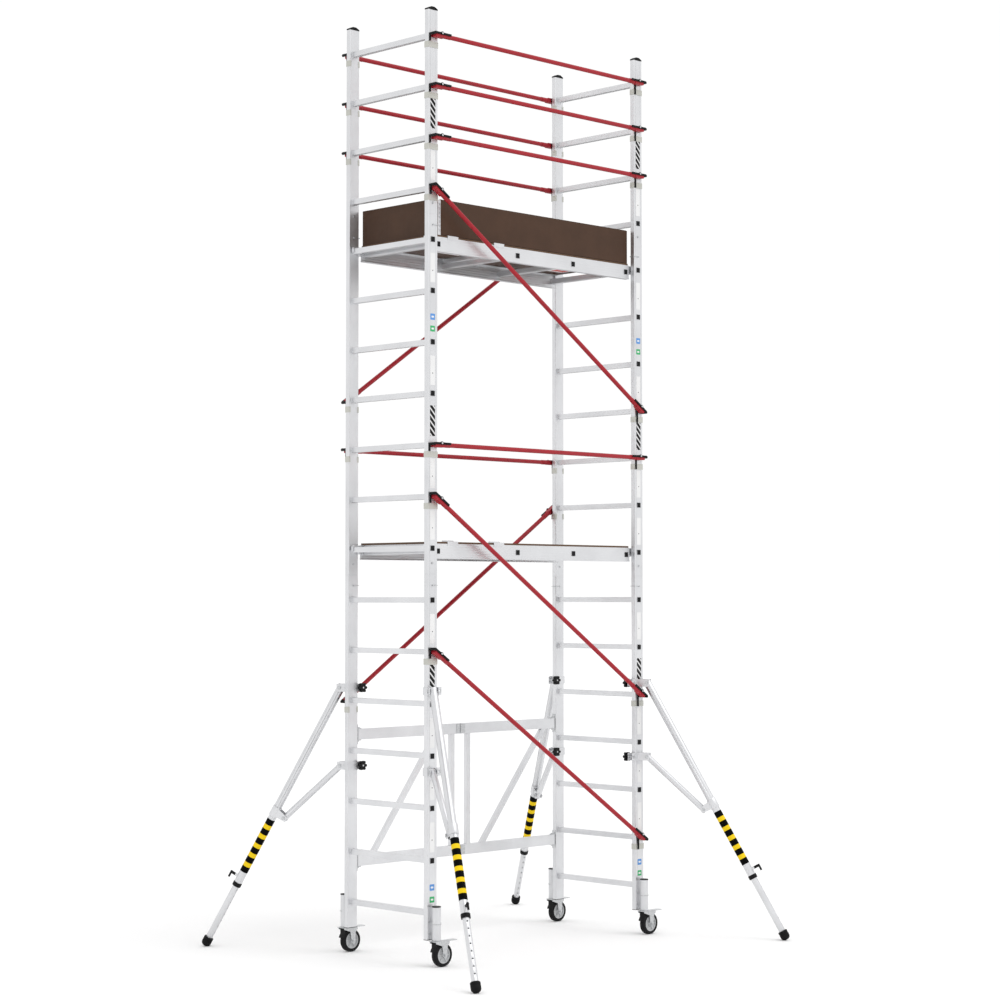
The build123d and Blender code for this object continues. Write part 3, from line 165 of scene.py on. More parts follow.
def flutes(material, direction, scale):
    """Shallow grooves that an extrusion carries along its whole length."""
    place = add(material, "TexCoord")
    wave = add(material, "TexWave", bands_direction=direction)
    wave.inputs["Scale"].default_value = scale
    join(material, place.outputs["Object"], wave.inputs["Vector"])
    return wave.outputs["Fac"]


def add_heights(material, *heights):
    total = heights[0]
    for height in heights[1:]:
        both = add(material, "Math", operation="ADD")
        join(material, total, both.inputs[0])
        join(material, height, both.inputs[1])
        total = both.outputs["Value"]
    return total


def aluminium(
        name, lines=(1, 1, 1), tones=(ALUMINIUM_DULL, ALUMINIUM), skin=EXTRUDED_SKIN, fluted=0.0):
    material, shader = start_material(name, tones[1], METALLIC, SHEEN)
    cloud = object_noise(material, CLOUD_SCALE, detail=4.0)
    blend_colours(material, cloud, *tones, shader.inputs["Base Color"])
    die_lines = object_noise(material, DIE_LINE_SCALE, lines)
    vary(material, die_lines, *skin, shader.inputs["Roughness"])
    if fluted:
        add_bump(material, shader, flutes(material, "Z", fluted), 0.0008, 0.3)
    else:
        add_bump(material, shader, die_lines, 0.0001, 0.35)
    return material


def frame_aluminium(stile_inner_face):
    """Upright lines on the stiles, crosswise lines and tread ridges on the rungs."""
    material, shader = start_material("frame_aluminium", ALUMINIUM, METALLIC, SHEEN)
    cloud = object_noise(material, CLOUD_SCALE, detail=4.0)
    blend_colours(material, cloud, ALUMINIUM_DULL, ALUMINIUM, shader.inputs["Base Color"])
    place = add(material, "TexCoord")
    parts = add(material, "SeparateXYZ")
    join(material, place.outputs["Object"], parts.inputs["Vector"])
    across = add(material, "Math", operation="ABSOLUTE")
    join(material, parts.outputs["Y"], across.inputs[0])
    on_stile = add(material, "Math", operation="GREATER_THAN")
    on_stile.inputs[1].default_value = stile_inner_face - 0.0005
    join(material, across.outputs["Value"], on_stile.inputs[0])
    lines = add(material, "Mix", data_type="FLOAT")
    join(material, on_stile.outputs["Value"], lines.inputs["Factor"])
    join(material, object_noise(material, DIE_LINE_SCALE, ALONG_Y), lines.inputs["A"])
    join(material, object_noise(material, DIE_LINE_SCALE, ALONG_Z), lines.inputs["B"])
    vary(material, lines.outputs["Result"], *EXTRUDED_SKIN, shader.inputs["Roughness"])
    height = add(material, "Mix", data_type="FLOAT")
    join(material, on_stile.outputs["Value"], height.inputs["Factor"])
    join(material, flutes(material, "X", RUNG_RIDGES), height.inputs["A"])
    grooves = add_heights(
        material, flutes(material, "X", STILE_FLUTES_X), flutes(material, "Y", STILE_FLUTES_Y))
    join(material, grooves, height.inputs["B"])
    add_bump(material, shader, height.outputs["Result"], 0.0003, 0.4)
    return material


stile_low, stile_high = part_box("left_base_frame")
STILE_THICK = 0.030
OUTER_FACE = stile_high.y
INNER_FACE = OUTER_FACE - STILE_THICK
STILE_X = abs(stile_low.x + stile_high.x) / 2
ladder_finish = frame_aluminium(INNER_FACE)
beam_finish = aluminium("beam_aluminium", ALONG_X, fluted=BEAM_FLUTES)
fold_finish = aluminium("fold_aluminium", ALONG_LEAF)
tube_finish = aluminium("tube_aluminium", ALONG_TUBE)
cast_finish = aluminium("cast_aluminium", skin=CAST_SKIN)
clip_finish = aluminium("clip_aluminium", tones=(CLIP_GREY_DULL, CLIP_GREY), skin=CAST_SKIN)
print("stile outer face at", round(OUTER_FACE, 3))

# %% [markdown]
# ## Paint, plastic, rubber and tape
#
# Powder coat has a fine orange-peel skin, moulded plastic has a fine even grain, and tape is almost
# smooth. One helper makes them all: a slow noise changes the shade a little, and a fine noise makes
# the grain. Dark finishes get a low specular level, because a bright studio would wash them out.
# %% Grained finishes
RED = (0.36, 0.014, 0.024)
BLACK = (0.006, 0.006, 0.0065)
TYRE_BLACK = (0.010, 0.010, 0.011)
TAPE_BLACK = (0.002, 0.002, 0.002)
TAPE_YELLOW = (0.86, 0.60, 0.012)
HUB_GREY = (0.55, 0.56, 0.57)
LABEL_COLOURS = {
    "white": (0.78, 0.78, 0.78), "blue": (0.12, 0.30, 0.66), "green": (0.06, 0.42, 0.16),
    "red": (0.60, 0.04, 0.03)}


def grained(name, colour, roughness, grain, depth, shade=0.75, specular=0.15):
    """A plain finish with a fine grain in its bump and a slow change of shade."""
    material, shader = start_material(name, colour, 0.0, roughness, specular)
    cloud = object_noise(material, 9.0, detail=4.0)
    darker = tuple(channel * shade for channel in colour)
    blend_colours(material, cloud, darker, colour, shader.inputs["Base Color"])
    vary(material, cloud, roughness - 0.06, roughness + 0.08, shader.inputs["Roughness"])
    add_bump(material, shader, object_noise(material, grain), depth, 0.6)
    return material


red_paint = grained("red_powder_coat", RED, 0.36, 900.0, 0.0002, 0.88, 0.25)
black_plastic = grained("black_plastic", BLACK, 0.42, 1400.0, 0.00015)
black_rubber = grained("black_rubber", BLACK, 0.62, 700.0, 0.0003)
tyre_rubber = grained("tyre_rubber", TYRE_BLACK, 0.6, 500.0, 0.0003)
hub_metal = grained("hub_grey", HUB_GREY, 0.36, 900.0, 0.0002, 0.9, 0.5)
yellow_tape = grained("yellow_tape", TAPE_YELLOW, 0.36, 600.0, 0.0001, 0.93, 0.1)
black_tape = grained("black_tape", TAPE_BLACK, 0.4, 600.0, 0.0001, specular=0.04)
label_inks = {
    ink: grained(f"{ink}_label", colour, 0.38, 300.0, 0.00005, 0.95 if ink == "white" else 0.9)
    for ink, colour in LABEL_COLOURS.items()}
print("grained finishes:", len(bpy.data.materials), "materials so far")

# %% [markdown]
# ## Zinc plate
#
# Pins, bolts, forks and pedals are zinc-plated steel. The plating is bright with soft spangles, which
# are cells of slightly different grey. A Voronoi texture makes cells, and plain noise would not.
# %% Zinc plate
ZINC = (0.62, 0.63, 0.64)
ZINC_DULL = (0.48, 0.49, 0.5)
SPANGLE_SCALE = 160.0


def zinc_plate():
    material, shader = start_material("zinc_plate", (0.60, 0.61, 0.62), 0.92, 0.34)
    place = add(material, "TexCoord")
    spangle = add(material, "TexVoronoi")
    spangle.inputs["Scale"].default_value = SPANGLE_SCALE
    join(material, place.outputs["Object"], spangle.inputs["Vector"])
    blend_colours(
        material, spangle.outputs["Distance"], ZINC, ZINC_DULL, shader.inputs["Base Color"])
    vary(material, object_noise(material, 90.0), 0.28, 0.44, shader.inputs["Roughness"])
    add_bump(material, shader, object_noise(material, 500.0), 0.0001, 0.4)
    return material


zinc = zinc_plate()
print("made", zinc.name)

# %% [markdown]
# ## Film-faced plywood
#
# Decks and toe boards are birch plywood under a brown phenolic film. Where people stand, the film is
# pressed with a wire mesh, and the plies show on a cut edge. Two waves at an angle make the mesh. The
# normal tells a walking face from a cut edge, so one finish serves the whole board.
# %% Film-faced plywood
BROWN = (0.068, 0.035, 0.021)
BROWN_DARK = (0.058, 0.030, 0.018)
PLY_DARK = (0.06, 0.032, 0.02)
PLY_LIGHT = (0.16, 0.095, 0.055)
PLY_BANDS = 95.0
MESH_BANDS = 55.0
MESH_TURN = 60
FLAT_ENOUGH = 0.6


def film_plywood(name, tread):
    """Brown film, with a pressed mesh underfoot and plies on the cut edges where tread is set."""
    material, shader = start_material(name, BROWN, 0.0, 0.42, 0.15)
    cloud = object_noise(material, 7.0, detail=6.0)
    film = add(material, "ValToRGB")
    film.color_ramp.elements[0].position = 0.35
    film.color_ramp.elements[1].position = 0.65
    film.color_ramp.elements[0].color = (*BROWN_DARK, 1)
    film.color_ramp.elements[1].color = (*BROWN, 1)
    join(material, cloud, film.inputs["Fac"])
    vary(material, object_noise(material, 40.0), 0.36, 0.52, shader.inputs["Roughness"])
    if not tread:
        join(material, film.outputs["Color"], shader.inputs["Base Color"])
        add_bump(material, shader, object_noise(material, 120.0, (1, 1, 0.2)), 0.0002, 0.4)
        return material
    place = add(material, "TexCoord")
    plies = add(material, "TexWave", bands_direction="Z")
    plies.inputs["Scale"].default_value = PLY_BANDS
    join(material, place.outputs["Object"], plies.inputs["Vector"])
    edge = add(material, "ValToRGB")
    edge.color_ramp.elements[0].color = (*PLY_DARK, 1)
    edge.color_ramp.elements[1].color = (*PLY_LIGHT, 1)
    join(material, plies.outputs["Fac"], edge.inputs["Fac"])
    facing = add(material, "NewGeometry")
    parts = add(material, "SeparateXYZ")
    join(material, facing.outputs["Normal"], parts.inputs["Vector"])
    level = add(material, "Math", operation="ABSOLUTE")
    join(material, parts.outputs["Z"], level.inputs[0])
    flat = add(material, "Math", operation="GREATER_THAN")
    flat.inputs[1].default_value = FLAT_ENOUGH
    join(material, level.outputs["Value"], flat.inputs[0])
    skin = add(material, "Mix", data_type="RGBA")
    join(material, flat.outputs["Value"], skin.inputs["Factor"])
    join(material, edge.outputs["Color"], skin.inputs["A"])
    join(material, film.outputs["Color"], skin.inputs["B"])
    join(material, skin.outputs["Result"], shader.inputs["Base Color"])
    turned = add(material, "Mapping")
    turned.inputs["Rotation"].default_value = (0, 0, math.radians(MESH_TURN))
    join(material, place.outputs["Object"], turned.inputs["Vector"])
    wires = []
    for vector in (place.outputs["Object"], turned.outputs["Vector"]):
        wire = add(material, "TexWave", bands_direction="X")
        wire.inputs["Scale"].default_value = MESH_BANDS
        join(material, vector, wire.inputs["Vector"])
        wires.append(wire.outputs["Fac"])
    mesh = add(material, "Math", operation="MAXIMUM")
    join(material, wires[0], mesh.inputs[0])
    join(material, wires[1], mesh.inputs[1])
    add_bump(material, shader, mesh.outputs["Value"], 0.0006, 0.6)
    return material


deck_ply = film_plywood("deck_plywood", True)
board_ply = film_plywood("board_plywood", False)
print("made", deck_ply.name, "and", board_ply.name)

# %% [markdown]
# ## A banded label
#
# A label with slanting black bars needs no image: a saw wave on the diagonal, cut into two colours
# by a colour ramp that doesn't blend, prints the bars wherever the label is stuck. Modelled bars would
# need a dozen thin pieces for each label.
# %% Banded label
BAR_SCALE = 18.0
BAR_SHARE = 0.68


def chevron_label():
    """A plain black and white band, with no lettering."""
    material, shader = start_material("chevron_label", (0.8, 0.8, 0.8), 0.0, 0.38, 0.15)
    place = add(material, "TexCoord")
    bands = add(material, "TexWave", bands_direction="DIAGONAL", wave_profile="SAW")
    bands.inputs["Scale"].default_value = BAR_SCALE
    join(material, place.outputs["Object"], bands.inputs["Vector"])
    ramp = add(material, "ValToRGB")
    ramp.color_ramp.interpolation = "CONSTANT"
    ramp.color_ramp.elements[0].color = (0.006, 0.006, 0.006, 1)
    ramp.color_ramp.elements[1].color = (0.72, 0.72, 0.72, 1)
    ramp.color_ramp.elements[1].position = BAR_SHARE
    join(material, bands.outputs["Fac"], ramp.inputs["Fac"])
    join(material, ramp.outputs["Color"], shader.inputs["Base Color"])
    return material


chevrons = chevron_label()
print(len(bpy.data.materials), "materials")

# %% [markdown]
# ## Dressing the CAD parts
#
# A CAD part keeps its shape and gets its finish. Its edges are perfectly sharp, which no sawn or
# pressed part is, and a sharp edge catches no light. A Weld modifier closes the loose triangles and a
# small Bevel rounds the edges, without touching the CAD mesh itself. Applying them would change it.
# %% Finish and edges for each CAD node
FINISHES = {
    "brace_tubes": (red_paint, 0.0),
    "brace_claws": (red_paint, 0.0009),
    "brace_latches": (black_plastic, 0.0009),
    "brace_stile_clips": (clip_finish, 0.0004),
    "end_plugs": (black_plastic, 0.0008),
    "frame_joint_fixings": (zinc, 0.0),
    "deck_frames": (beam_finish, 0.0006),
    "deck_panels": (deck_ply, 0.0005),
    "deck_fittings": (cast_finish, 0.0005),
    "lower_hatch": (deck_ply, 0.0005),
    "upper_hatch": (deck_ply, 0.0005),
    "toe_boards": (board_ply, 0.001),
    "folding_left_leaf": (fold_finish, 0.001),
    "folding_right_leaf": (fold_finish, 0.001),
    "folding_hinges": (zinc, 0.0006),
    "caster_sleeves": (cast_finish, 0.0006),
    "caster_stems": (zinc, 0.0005),
    "stabiliser_clamps": (cast_finish, 0.0008),
    "stabiliser_tubes": (tube_finish, 0.0006),
    "stabiliser_struts": (tube_finish, 0.0006),
    "stabiliser_collars": (black_plastic, 0.001),
    "stabiliser_bolts": (zinc, 0.0005)}
FAMILY_FINISHES = {
    "_frame": (ladder_finish, 0.0009),
    "caster_fork": (zinc, 0.0007),
    "brake_pedal": (zinc, 0.0006),
    "leg_tube": (tube_finish, 0.0005),
    "leg_handle": (black_plastic, 0.0012),
    "knob_": (black_plastic, 0.0018)}


def finish_of(node):
    if node in FINISHES:
        return FINISHES[node]
    for word, finish in FAMILY_FINISHES.items():
        if word in node:
            return finish
    return cast_finish, 0.0005


def dress(node, part):
    material, ease = finish_of(node)
    part.data.materials.clear()
    part.data.materials.append(material)
    if ease:
        weld = part.modifiers.new("weld", "WELD")
        weld.merge_threshold = 0.00002
        bevel = part.modifiers.new("ease", "BEVEL")
        bevel.width = ease
        bevel.segments = 2
        bevel.limit_method = "ANGLE"
        bevel.angle_limit = math.radians(50)
        bevel.use_clamp_overlap = True


for node, part in frame["nodes"].items():
    dress(node, part)
print("dressed", len(frame["nodes"]), "CAD nodes")

# %% [markdown]
# ## Parts with two finishes
#
# The castor's tyre guard is black plastic on a zinc fork, and the trapdoor's hinge leaves are metal on
# plywood. They are in one CAD node each, so a second material goes to the faces that lie in the right
# place. That is simpler than cutting the node apart.
# %% Second finishes
FORK_GAP = 0.044
FORK_CROWN = 0.1365
GUARD_BEHIND_AXLE = 0.035
FACE_SLACK = 0.0005
HATCH_THICK = 0.010


def dress_some(node, material, wanted):
    """Gives a second finish to the faces of a node whose centres pass a test."""
    part = frame["nodes"][node]
    part.data.materials.append(material)
    for face in part.data.polygons:
        if wanted(face.center):
            face.material_index = 1


for corner in CORNERS:
    axle = Vector(joints[f"wheel_spin_{corner}"]["pos_m"])
    dress_some(f"caster_fork_{corner}", black_plastic, lambda place: (
        abs(place.y - axle.y) < FORK_GAP / 2 - FACE_SLACK
        and place.x < axle.x - GUARD_BEHIND_AXLE and place.z < FORK_CROWN))
for deck in ("lower", "upper"):
    low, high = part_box(f"{deck}_hatch")
    dress_some(f"{deck}_hatch", cast_finish, lambda place: place.z > low.z + HATCH_THICK + 0.0002)
print("second finishes on", len(CORNERS), "forks and 2 trapdoors")

# %% [markdown]
# ## Helpers for modelling
#
# New pieces are made with Blender's own operators, as by hand. A primitive is added at its size and
# place and its transform is applied, so that the mesh holds the place and the object sits at the
# origin. Faces and edges are then picked by their place or normal, because nobody is there to click.
# %% Modelling helpers
def settle(name):
    """Names the new primitive and applies its transform."""
    piece = bpy.context.object
    piece.name = name
    bpy.ops.object.transform_apply(location=True, rotation=True, scale=True)
    return piece


def block(name, low, high):
    middle = [(a + b) / 2 for a, b in zip(low, high)]
    bpy.ops.mesh.primitive_cube_add(size=1, location=middle)
    bpy.context.object.scale = [abs(b - a) for a, b in zip(low, high)]
    return settle(name)


def drum(name, start, end, radius, sides=48, caps="NGON"):
    """A round bar from one point to another."""
    start, end = Vector(start), Vector(end)
    run = end - start
    bpy.ops.mesh.primitive_cylinder_add(
        vertices=sides, radius=radius, depth=run.length, location=(start + end) / 2,
        rotation=run.to_track_quat("Z", "Y").to_euler(), end_fill_type=caps)
    return settle(name)


def edit(piece):
    bpy.ops.object.select_all(action="DESELECT")
    piece.select_set(True)
    bpy.context.view_layer.objects.active = piece
    bpy.ops.object.mode_set(mode="EDIT")


def pick_faces(piece, wanted):
    """Selects the faces whose centre and normal pass a test."""
    bpy.ops.mesh.select_mode(type="FACE")
    bpy.ops.mesh.select_all(action="DESELECT")
    mesh = bmesh.from_edit_mesh(piece.data)
    for face in mesh.faces:
        if wanted(face.calc_center_median(), face.normal):
            face.select_set(True)
    bmesh.update_edit_mesh(piece.data)


def pick_edges(piece, wanted):
    """Selects the edges whose two ends pass a test."""
    bpy.ops.mesh.select_mode(type="EDGE")
    bpy.ops.mesh.select_all(action="DESELECT")
    mesh = bmesh.from_edit_mesh(piece.data)
    for edge in mesh.edges:
        if wanted(edge.verts[0].co, edge.verts[1].co):
            edge.select_set(True)
    bmesh.update_edit_mesh(piece.data)


def push_faces(distance):
    """Extrudes the selected faces along their own normals: out when positive, in when negative."""
    bpy.ops.mesh.extrude_region_shrink_fatten(TRANSFORM_OT_shrink_fatten={"value": distance})


def leave_edit():
    bpy.ops.mesh.select_all(action="SELECT")
    bpy.ops.mesh.normals_make_consistent(inside=False)
    bpy.ops.object.mode_set(mode="OBJECT")


def round_edges(piece, width, segments=2, angle=35):
    """A small bevel on the sharp edges, applied, with smooth shading between them."""
    bpy.ops.object.select_all(action="DESELECT")
    piece.select_set(True)
    bpy.context.view_layer.objects.active = piece
    bevel = piece.modifiers.new("ease", "BEVEL")
    bevel.width = width
    bevel.segments = segments
    bevel.limit_method = "ANGLE"
    bevel.angle_limit = math.radians(angle)
    bpy.ops.object.modifier_apply(modifier=bevel.name)
    bpy.ops.object.shade_smooth_by_angle(angle=math.radians(35))


def merge_pieces(name, pieces):
    """Joins several pieces into one named piece."""
    bpy.ops.object.select_all(action="DESELECT")
    for piece in pieces:
        piece.select_set(True)
    bpy.context.view_layer.objects.active = pieces[0]
    if len(pieces) > 1:
        bpy.ops.object.join()
    pieces[0].name = name
    return pieces[0]


def finish_piece(piece, material, body):
    piece.data.materials.clear()
    piece.data.materials.append(material)
    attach(piece, body)
    return piece


print("modelling helpers ready")

# %% [markdown]
# ## Tyres and hubs
#
# Each castor has a rubber tyre on a moulded hub. The tyre starts as a drum: its caps are inset and
# removed and the two holes bridged into a bore. Bisecting planes mark two grooves in the tread, whose
# faces are sunk, and a wide bevel rounds the shoulders. A torus would be too round for this flat
# tread. The hub is a drum with dished sides, a boss and spokes.
# %% Wheels
TYRE_RADIUS = 0.0625
TYRE_WIDTH = 0.035
TYRE_DEPTH = 0.017
SHOULDER = 0.0065
GROOVE_START = 0.006
GROOVE_WIDTH = 0.0045
GROOVE_DEPTH = 0.0015
HUB_INSET = 0.002
HUB_LIP = 0.005
HUB_DISH = 0.009
BOSS_RADIUS = 0.014
SPOKES = 6
SPOKE_THICK = 0.004
SPOKE_ROOT = 0.011
HUB_EASE = 0.0007
NEAR = 0.0001


def from_axle(point, centre):
    return math.hypot(point.x - centre.x, point.z - centre.z)


def tyre(name, centre):
    half = Vector((0, TYRE_WIDTH / 2, 0))
    piece = drum(name, centre - half, centre + half, TYRE_RADIUS, 72)
    edit(piece)
    pick_faces(piece, lambda place, normal: abs(normal.y) > 0.9)
    bpy.ops.mesh.inset(thickness=TYRE_DEPTH)
    bpy.ops.mesh.delete(type="FACE")
    pick_edges(piece, lambda a, b: all(
        from_axle(p, centre) < TYRE_RADIUS - TYRE_DEPTH / 2 for p in (a, b)))
    bpy.ops.mesh.bridge_edge_loops()
    for side in (-1, 1):
        for offset in (GROOVE_START, GROOVE_START + GROOVE_WIDTH):
            bpy.ops.mesh.select_all(action="SELECT")
            plane = centre + Vector((0, side * offset, 0))
            bpy.ops.mesh.bisect(plane_co=plane, plane_no=(0, 1, 0))
    pick_faces(piece, lambda place, normal: (
        GROOVE_START < abs(place.y - centre.y) < GROOVE_START + GROOVE_WIDTH
        and from_axle(place, centre) > TYRE_RADIUS - 0.004))
    push_faces(-GROOVE_DEPTH)
    pick_edges(piece, lambda a, b: all(
        abs(abs(p.y - centre.y) - TYRE_WIDTH / 2) < NEAR
        and from_axle(p, centre) > TYRE_RADIUS - 0.001 for p in (a, b)))
    bpy.ops.mesh.bevel(offset=SHOULDER, segments=4, affect="EDGES")
    leave_edit()
    bpy.ops.object.shade_smooth_by_angle(angle=math.radians(35))
    return piece


def hub(name, centre, boss_half):
    half = Vector((0, TYRE_WIDTH / 2 - HUB_INSET, 0))
    rim = TYRE_RADIUS - TYRE_DEPTH
    piece = drum(name, centre - half, centre + half, rim, 48)
    edit(piece)
    pick_faces(piece, lambda place, normal: abs(normal.y) > 0.9)
    bpy.ops.mesh.inset(thickness=HUB_LIP)
    push_faces(-HUB_DISH)
    bpy.ops.mesh.inset(thickness=rim - HUB_LIP - BOSS_RADIUS)
    push_faces(boss_half - (half.y - HUB_DISH))
    bpy.ops.mesh.inset(thickness=0.003)
    leave_edit()
    spokes = [piece]
    for step in range(SPOKES):
        turn = math.radians(360 / SPOKES * step)
        direction = Vector((math.cos(turn), 0, math.sin(turn)))
        middle = centre + direction * (rim + SPOKE_ROOT) / 2
        bpy.ops.mesh.primitive_cube_add(size=1, location=middle, rotation=(0, -turn, 0))
        bpy.context.object.scale = (rim - BOSS_RADIUS, 2 * half.y - HUB_LIP, SPOKE_THICK)
        spokes.append(settle(f"{name}_spoke_{step}"))
    piece = merge_pieces(name, spokes)
    round_edges(piece, HUB_EASE)
    return piece


for corner in CORNERS:
    low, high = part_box(f"caster_wheel_{corner}")
    centre = Vector(joints[f"wheel_spin_{corner}"]["pos_m"])
    body = f"caster_wheel_{corner}"
    rubber = finish_piece(tyre(f"tyre_{corner}", centre), tyre_rubber, body)
    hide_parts(f"caster_wheel_{corner}")
    boss_half = (high.y - low.y) / 2
    finish_piece(hub(f"hub_{corner}", centre, boss_half), hub_metal, body)
    print("wheel", corner, "at", tuple(round(v, 3) for v in centre))

# %% [markdown]
# ## Rubber feet
#
# A stabiliser ends in a round rubber boot that is pushed over the leg. The boot is a drum along the
# leg. A wide bevel of many segments makes its lower end a ball, and a small one eases its top. Two
# bisecting planes mark a groove that is then sunk, and one last plane on the ground trims it flat.
# A sphere joined to a drum would need its seam closed by hand, and the bevel has none.
# %% Feet
BOOT_RADIUS = 0.0273
BOOT_START = 0.0048
BOOT_END = 0.060
BALL = 0.022
TOP_EASE = 0.004
GROOVES = (0.042, 0.047)


def boot(name, ground, up):
    top = ground + up * BOOT_END
    bottom = ground + up * BOOT_START
    piece = drum(name, bottom, top, BOOT_RADIUS, 48)
    edit(piece)
    pick_edges(piece, lambda a, b: all(abs((p - bottom).dot(up)) < 2 * NEAR for p in (a, b)))
    bpy.ops.mesh.bevel(offset=BALL, segments=10, affect="EDGES")
    pick_edges(piece, lambda a, b: all(abs((p - top).dot(up)) < 2 * NEAR for p in (a, b)))
    bpy.ops.mesh.bevel(offset=TOP_EASE, segments=3, affect="EDGES")
    for height in GROOVES:
        bpy.ops.mesh.select_all(action="SELECT")
        bpy.ops.mesh.bisect(plane_co=ground + up * height, plane_no=up)
    pick_faces(piece, lambda place, normal: GROOVES[0] < (place - ground).dot(up) < GROOVES[1])
    push_faces(-GROOVE_DEPTH)
    bpy.ops.mesh.select_all(action="SELECT")
    bpy.ops.mesh.bisect(plane_co=(0, 0, 0), plane_no=(0, 0, 1), use_fill=True, clear_inner=True)
    leave_edit()
    bpy.ops.object.shade_smooth_by_angle(angle=math.radians(35))
    return piece


def leg_line(corner):
    """Where the leg meets the ground, and its direction upwards."""
    ground = Vector(mounts[f"foot_{corner}"]["pos_m"])
    return ground, Vector(joints[f"leg_slide_{corner}"]["axis"]).normalized()


for corner in CORNERS:
    ground, up = leg_line(corner)
    foot = finish_piece(boot(f"boot_{corner}", ground, up), black_rubber, f"leg_{corner}")
    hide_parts(f"leg_foot_{corner}")
    print("foot", corner, "stands at", tuple(round(v, 3) for v in ground))

# %% [markdown]
# ## Hazard tape
#
# Yellow and black tape marks the part of the leg that people trip over. Each band is an open drum a
# hair wider than the tube, given thickness by a Solidify modifier that is then applied. Stripes in a
# texture could do it too, but real tape has an edge that catches the light. The black bands are wider
# than the yellow ones.
# %% Tape
LEG_RADIUS = 0.023
TAPE_THICK = 0.0003
TAPE_TOP = 0.730
BAND_LENGTH = {"black": 0.0355, "yellow": 0.0260}
BAND_COUNT = 11


def tape_band(name, start, end):
    piece = drum(name, start, end, LEG_RADIUS + TAPE_THICK, 64, "NOTHING")
    thickness = piece.modifiers.new("thickness", "SOLIDIFY")
    thickness.thickness = TAPE_THICK
    thickness.offset = -1
    bpy.ops.object.modifier_apply(modifier=thickness.name)
    bpy.ops.object.shade_smooth_by_angle(angle=math.radians(35))
    return piece


for corner in CORNERS:
    ground, up = leg_line(corner)
    place = ground + up * (TAPE_TOP / up.z)
    bands = {"black": [], "yellow": []}
    for step in range(BAND_COUNT):
        colour = "black" if step % 2 == 0 else "yellow"
        end = place - up * BAND_LENGTH[colour]
        bands[colour].append(tape_band(f"{colour}_band_{corner}_{step}", place, end))
        place = end
    for colour, material in (("black", black_tape), ("yellow", yellow_tape)):
        piece = merge_pieces(f"{colour}_tape_{corner}", bands[colour])
        finish_piece(piece, material, "root")
print("tape ends", round(place.z, 3), "m above the ground")

# %% [markdown]
# ## Weld beads
#
# Every rung is welded to its stiles. A torus with only four segments is a square ring, so one of them,
# turned on edge, makes the bead round a rung. Each bead has few faces, because there are dozens.
# %% Welds
RUNG = 0.030
RUNG_PITCH = 0.280
SECTIONS = {"base": (1, 7), "middle": (8, 7), "guard": (15, 4)}
FIRST_RUNG = stile_low.z + RUNG_PITCH / 2
BEAD = 0.0022


def rung_height(number):
    return FIRST_RUNG + (number - 1) * RUNG_PITCH


def weld_bead(name, place):
    bpy.ops.mesh.primitive_torus_add(
        major_segments=4, minor_segments=8, major_radius=(RUNG / 2 + BEAD / 4) * math.sqrt(2),
        minor_radius=BEAD, location=place, rotation=(math.radians(90), math.radians(45), 0))
    return settle(name)


for side in ("left", "right"):
    for section, (first, count) in SECTIONS.items():
        low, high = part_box(f"{side}_{section}_frame")
        x = (low.x + high.x) / 2
        beads = []
        for number in range(first, first + count):
            for across in (-1, 1):
                place = (x, across * INNER_FACE, rung_height(number))
                beads.append(weld_bead(f"bead_{side}_{number}_{across}", place))
        welds = merge_pieces(f"{side}_{section}_welds", beads)
        bpy.ops.object.shade_smooth_by_angle(angle=math.radians(60))
        finish_piece(welds, cast_finish, "root")
        print(welds.name, len(beads), "beads")

# %% [markdown]
# ## Labels on the stiles
#
# The outer face of each stile has a shallow groove with adhesive labels in it. They are plain here:
# white strips with one punched mark, a black and white band, and two coloured squares. Each is a thin
# block with its corners rounded by a bevel on the four edges that run through it. A block of its own
# can be moved from gap to gap, and a patch painted on the stile could not.
# %% Labels
GROOVE_FLOOR = OUTER_FACE - 0.001
LABEL_THICK = 0.0004
LABEL_WIDE = 0.036
LABEL_CORNER = 0.003
SQUARE_WIDE = 0.034
MARK_RADIUS = 0.003
MARK_THICK = 0.0002
MARK_HEIGHT = 0.110
BAND_SPAN = (0.048, 0.214)
BLUE_SPAN = (0.120, 0.154)
GREEN_SPAN = (0.056, 0.088)
WHITE_SPAN = (0.045, 0.205)
SHORT_SPAN = (0.045, 0.150)
SHORT_GAP = 3
SIGN_MIDDLES = (0.137, 0.072)
SIGN_HALF = 0.005
SIGN_WIDE = 0.018
BAND_GAPS = (5, 10, 16)
SQUARE_GAPS = (1, 12)
BARE_GAPS = (7, 14, 17)


def label(name, x, across, base, span, wide=LABEL_WIDE, lift=0.0):
    """A label in the groove, over a span of heights above a rung."""
    face = across * (GROOVE_FLOOR + lift)
    piece = block(
        name, (x - wide / 2, face, base + span[0]),
        (x + wide / 2, face + across * LABEL_THICK, base + span[1]))
    edit(piece)
    pick_edges(piece, lambda a, b: abs(a.y - b.y) > LABEL_THICK / 2)
    bpy.ops.mesh.bevel(offset=LABEL_CORNER, segments=3, affect="EDGES")
    leave_edit()
    return piece


def label_mark(name, x, across, z):
    """A small dark punched mark in the middle of a strip."""
    face = across * (GROOVE_FLOOR + LABEL_THICK)
    return drum(name, (x, face, z), (x, face + across * MARK_THICK, z), MARK_RADIUS, 16)


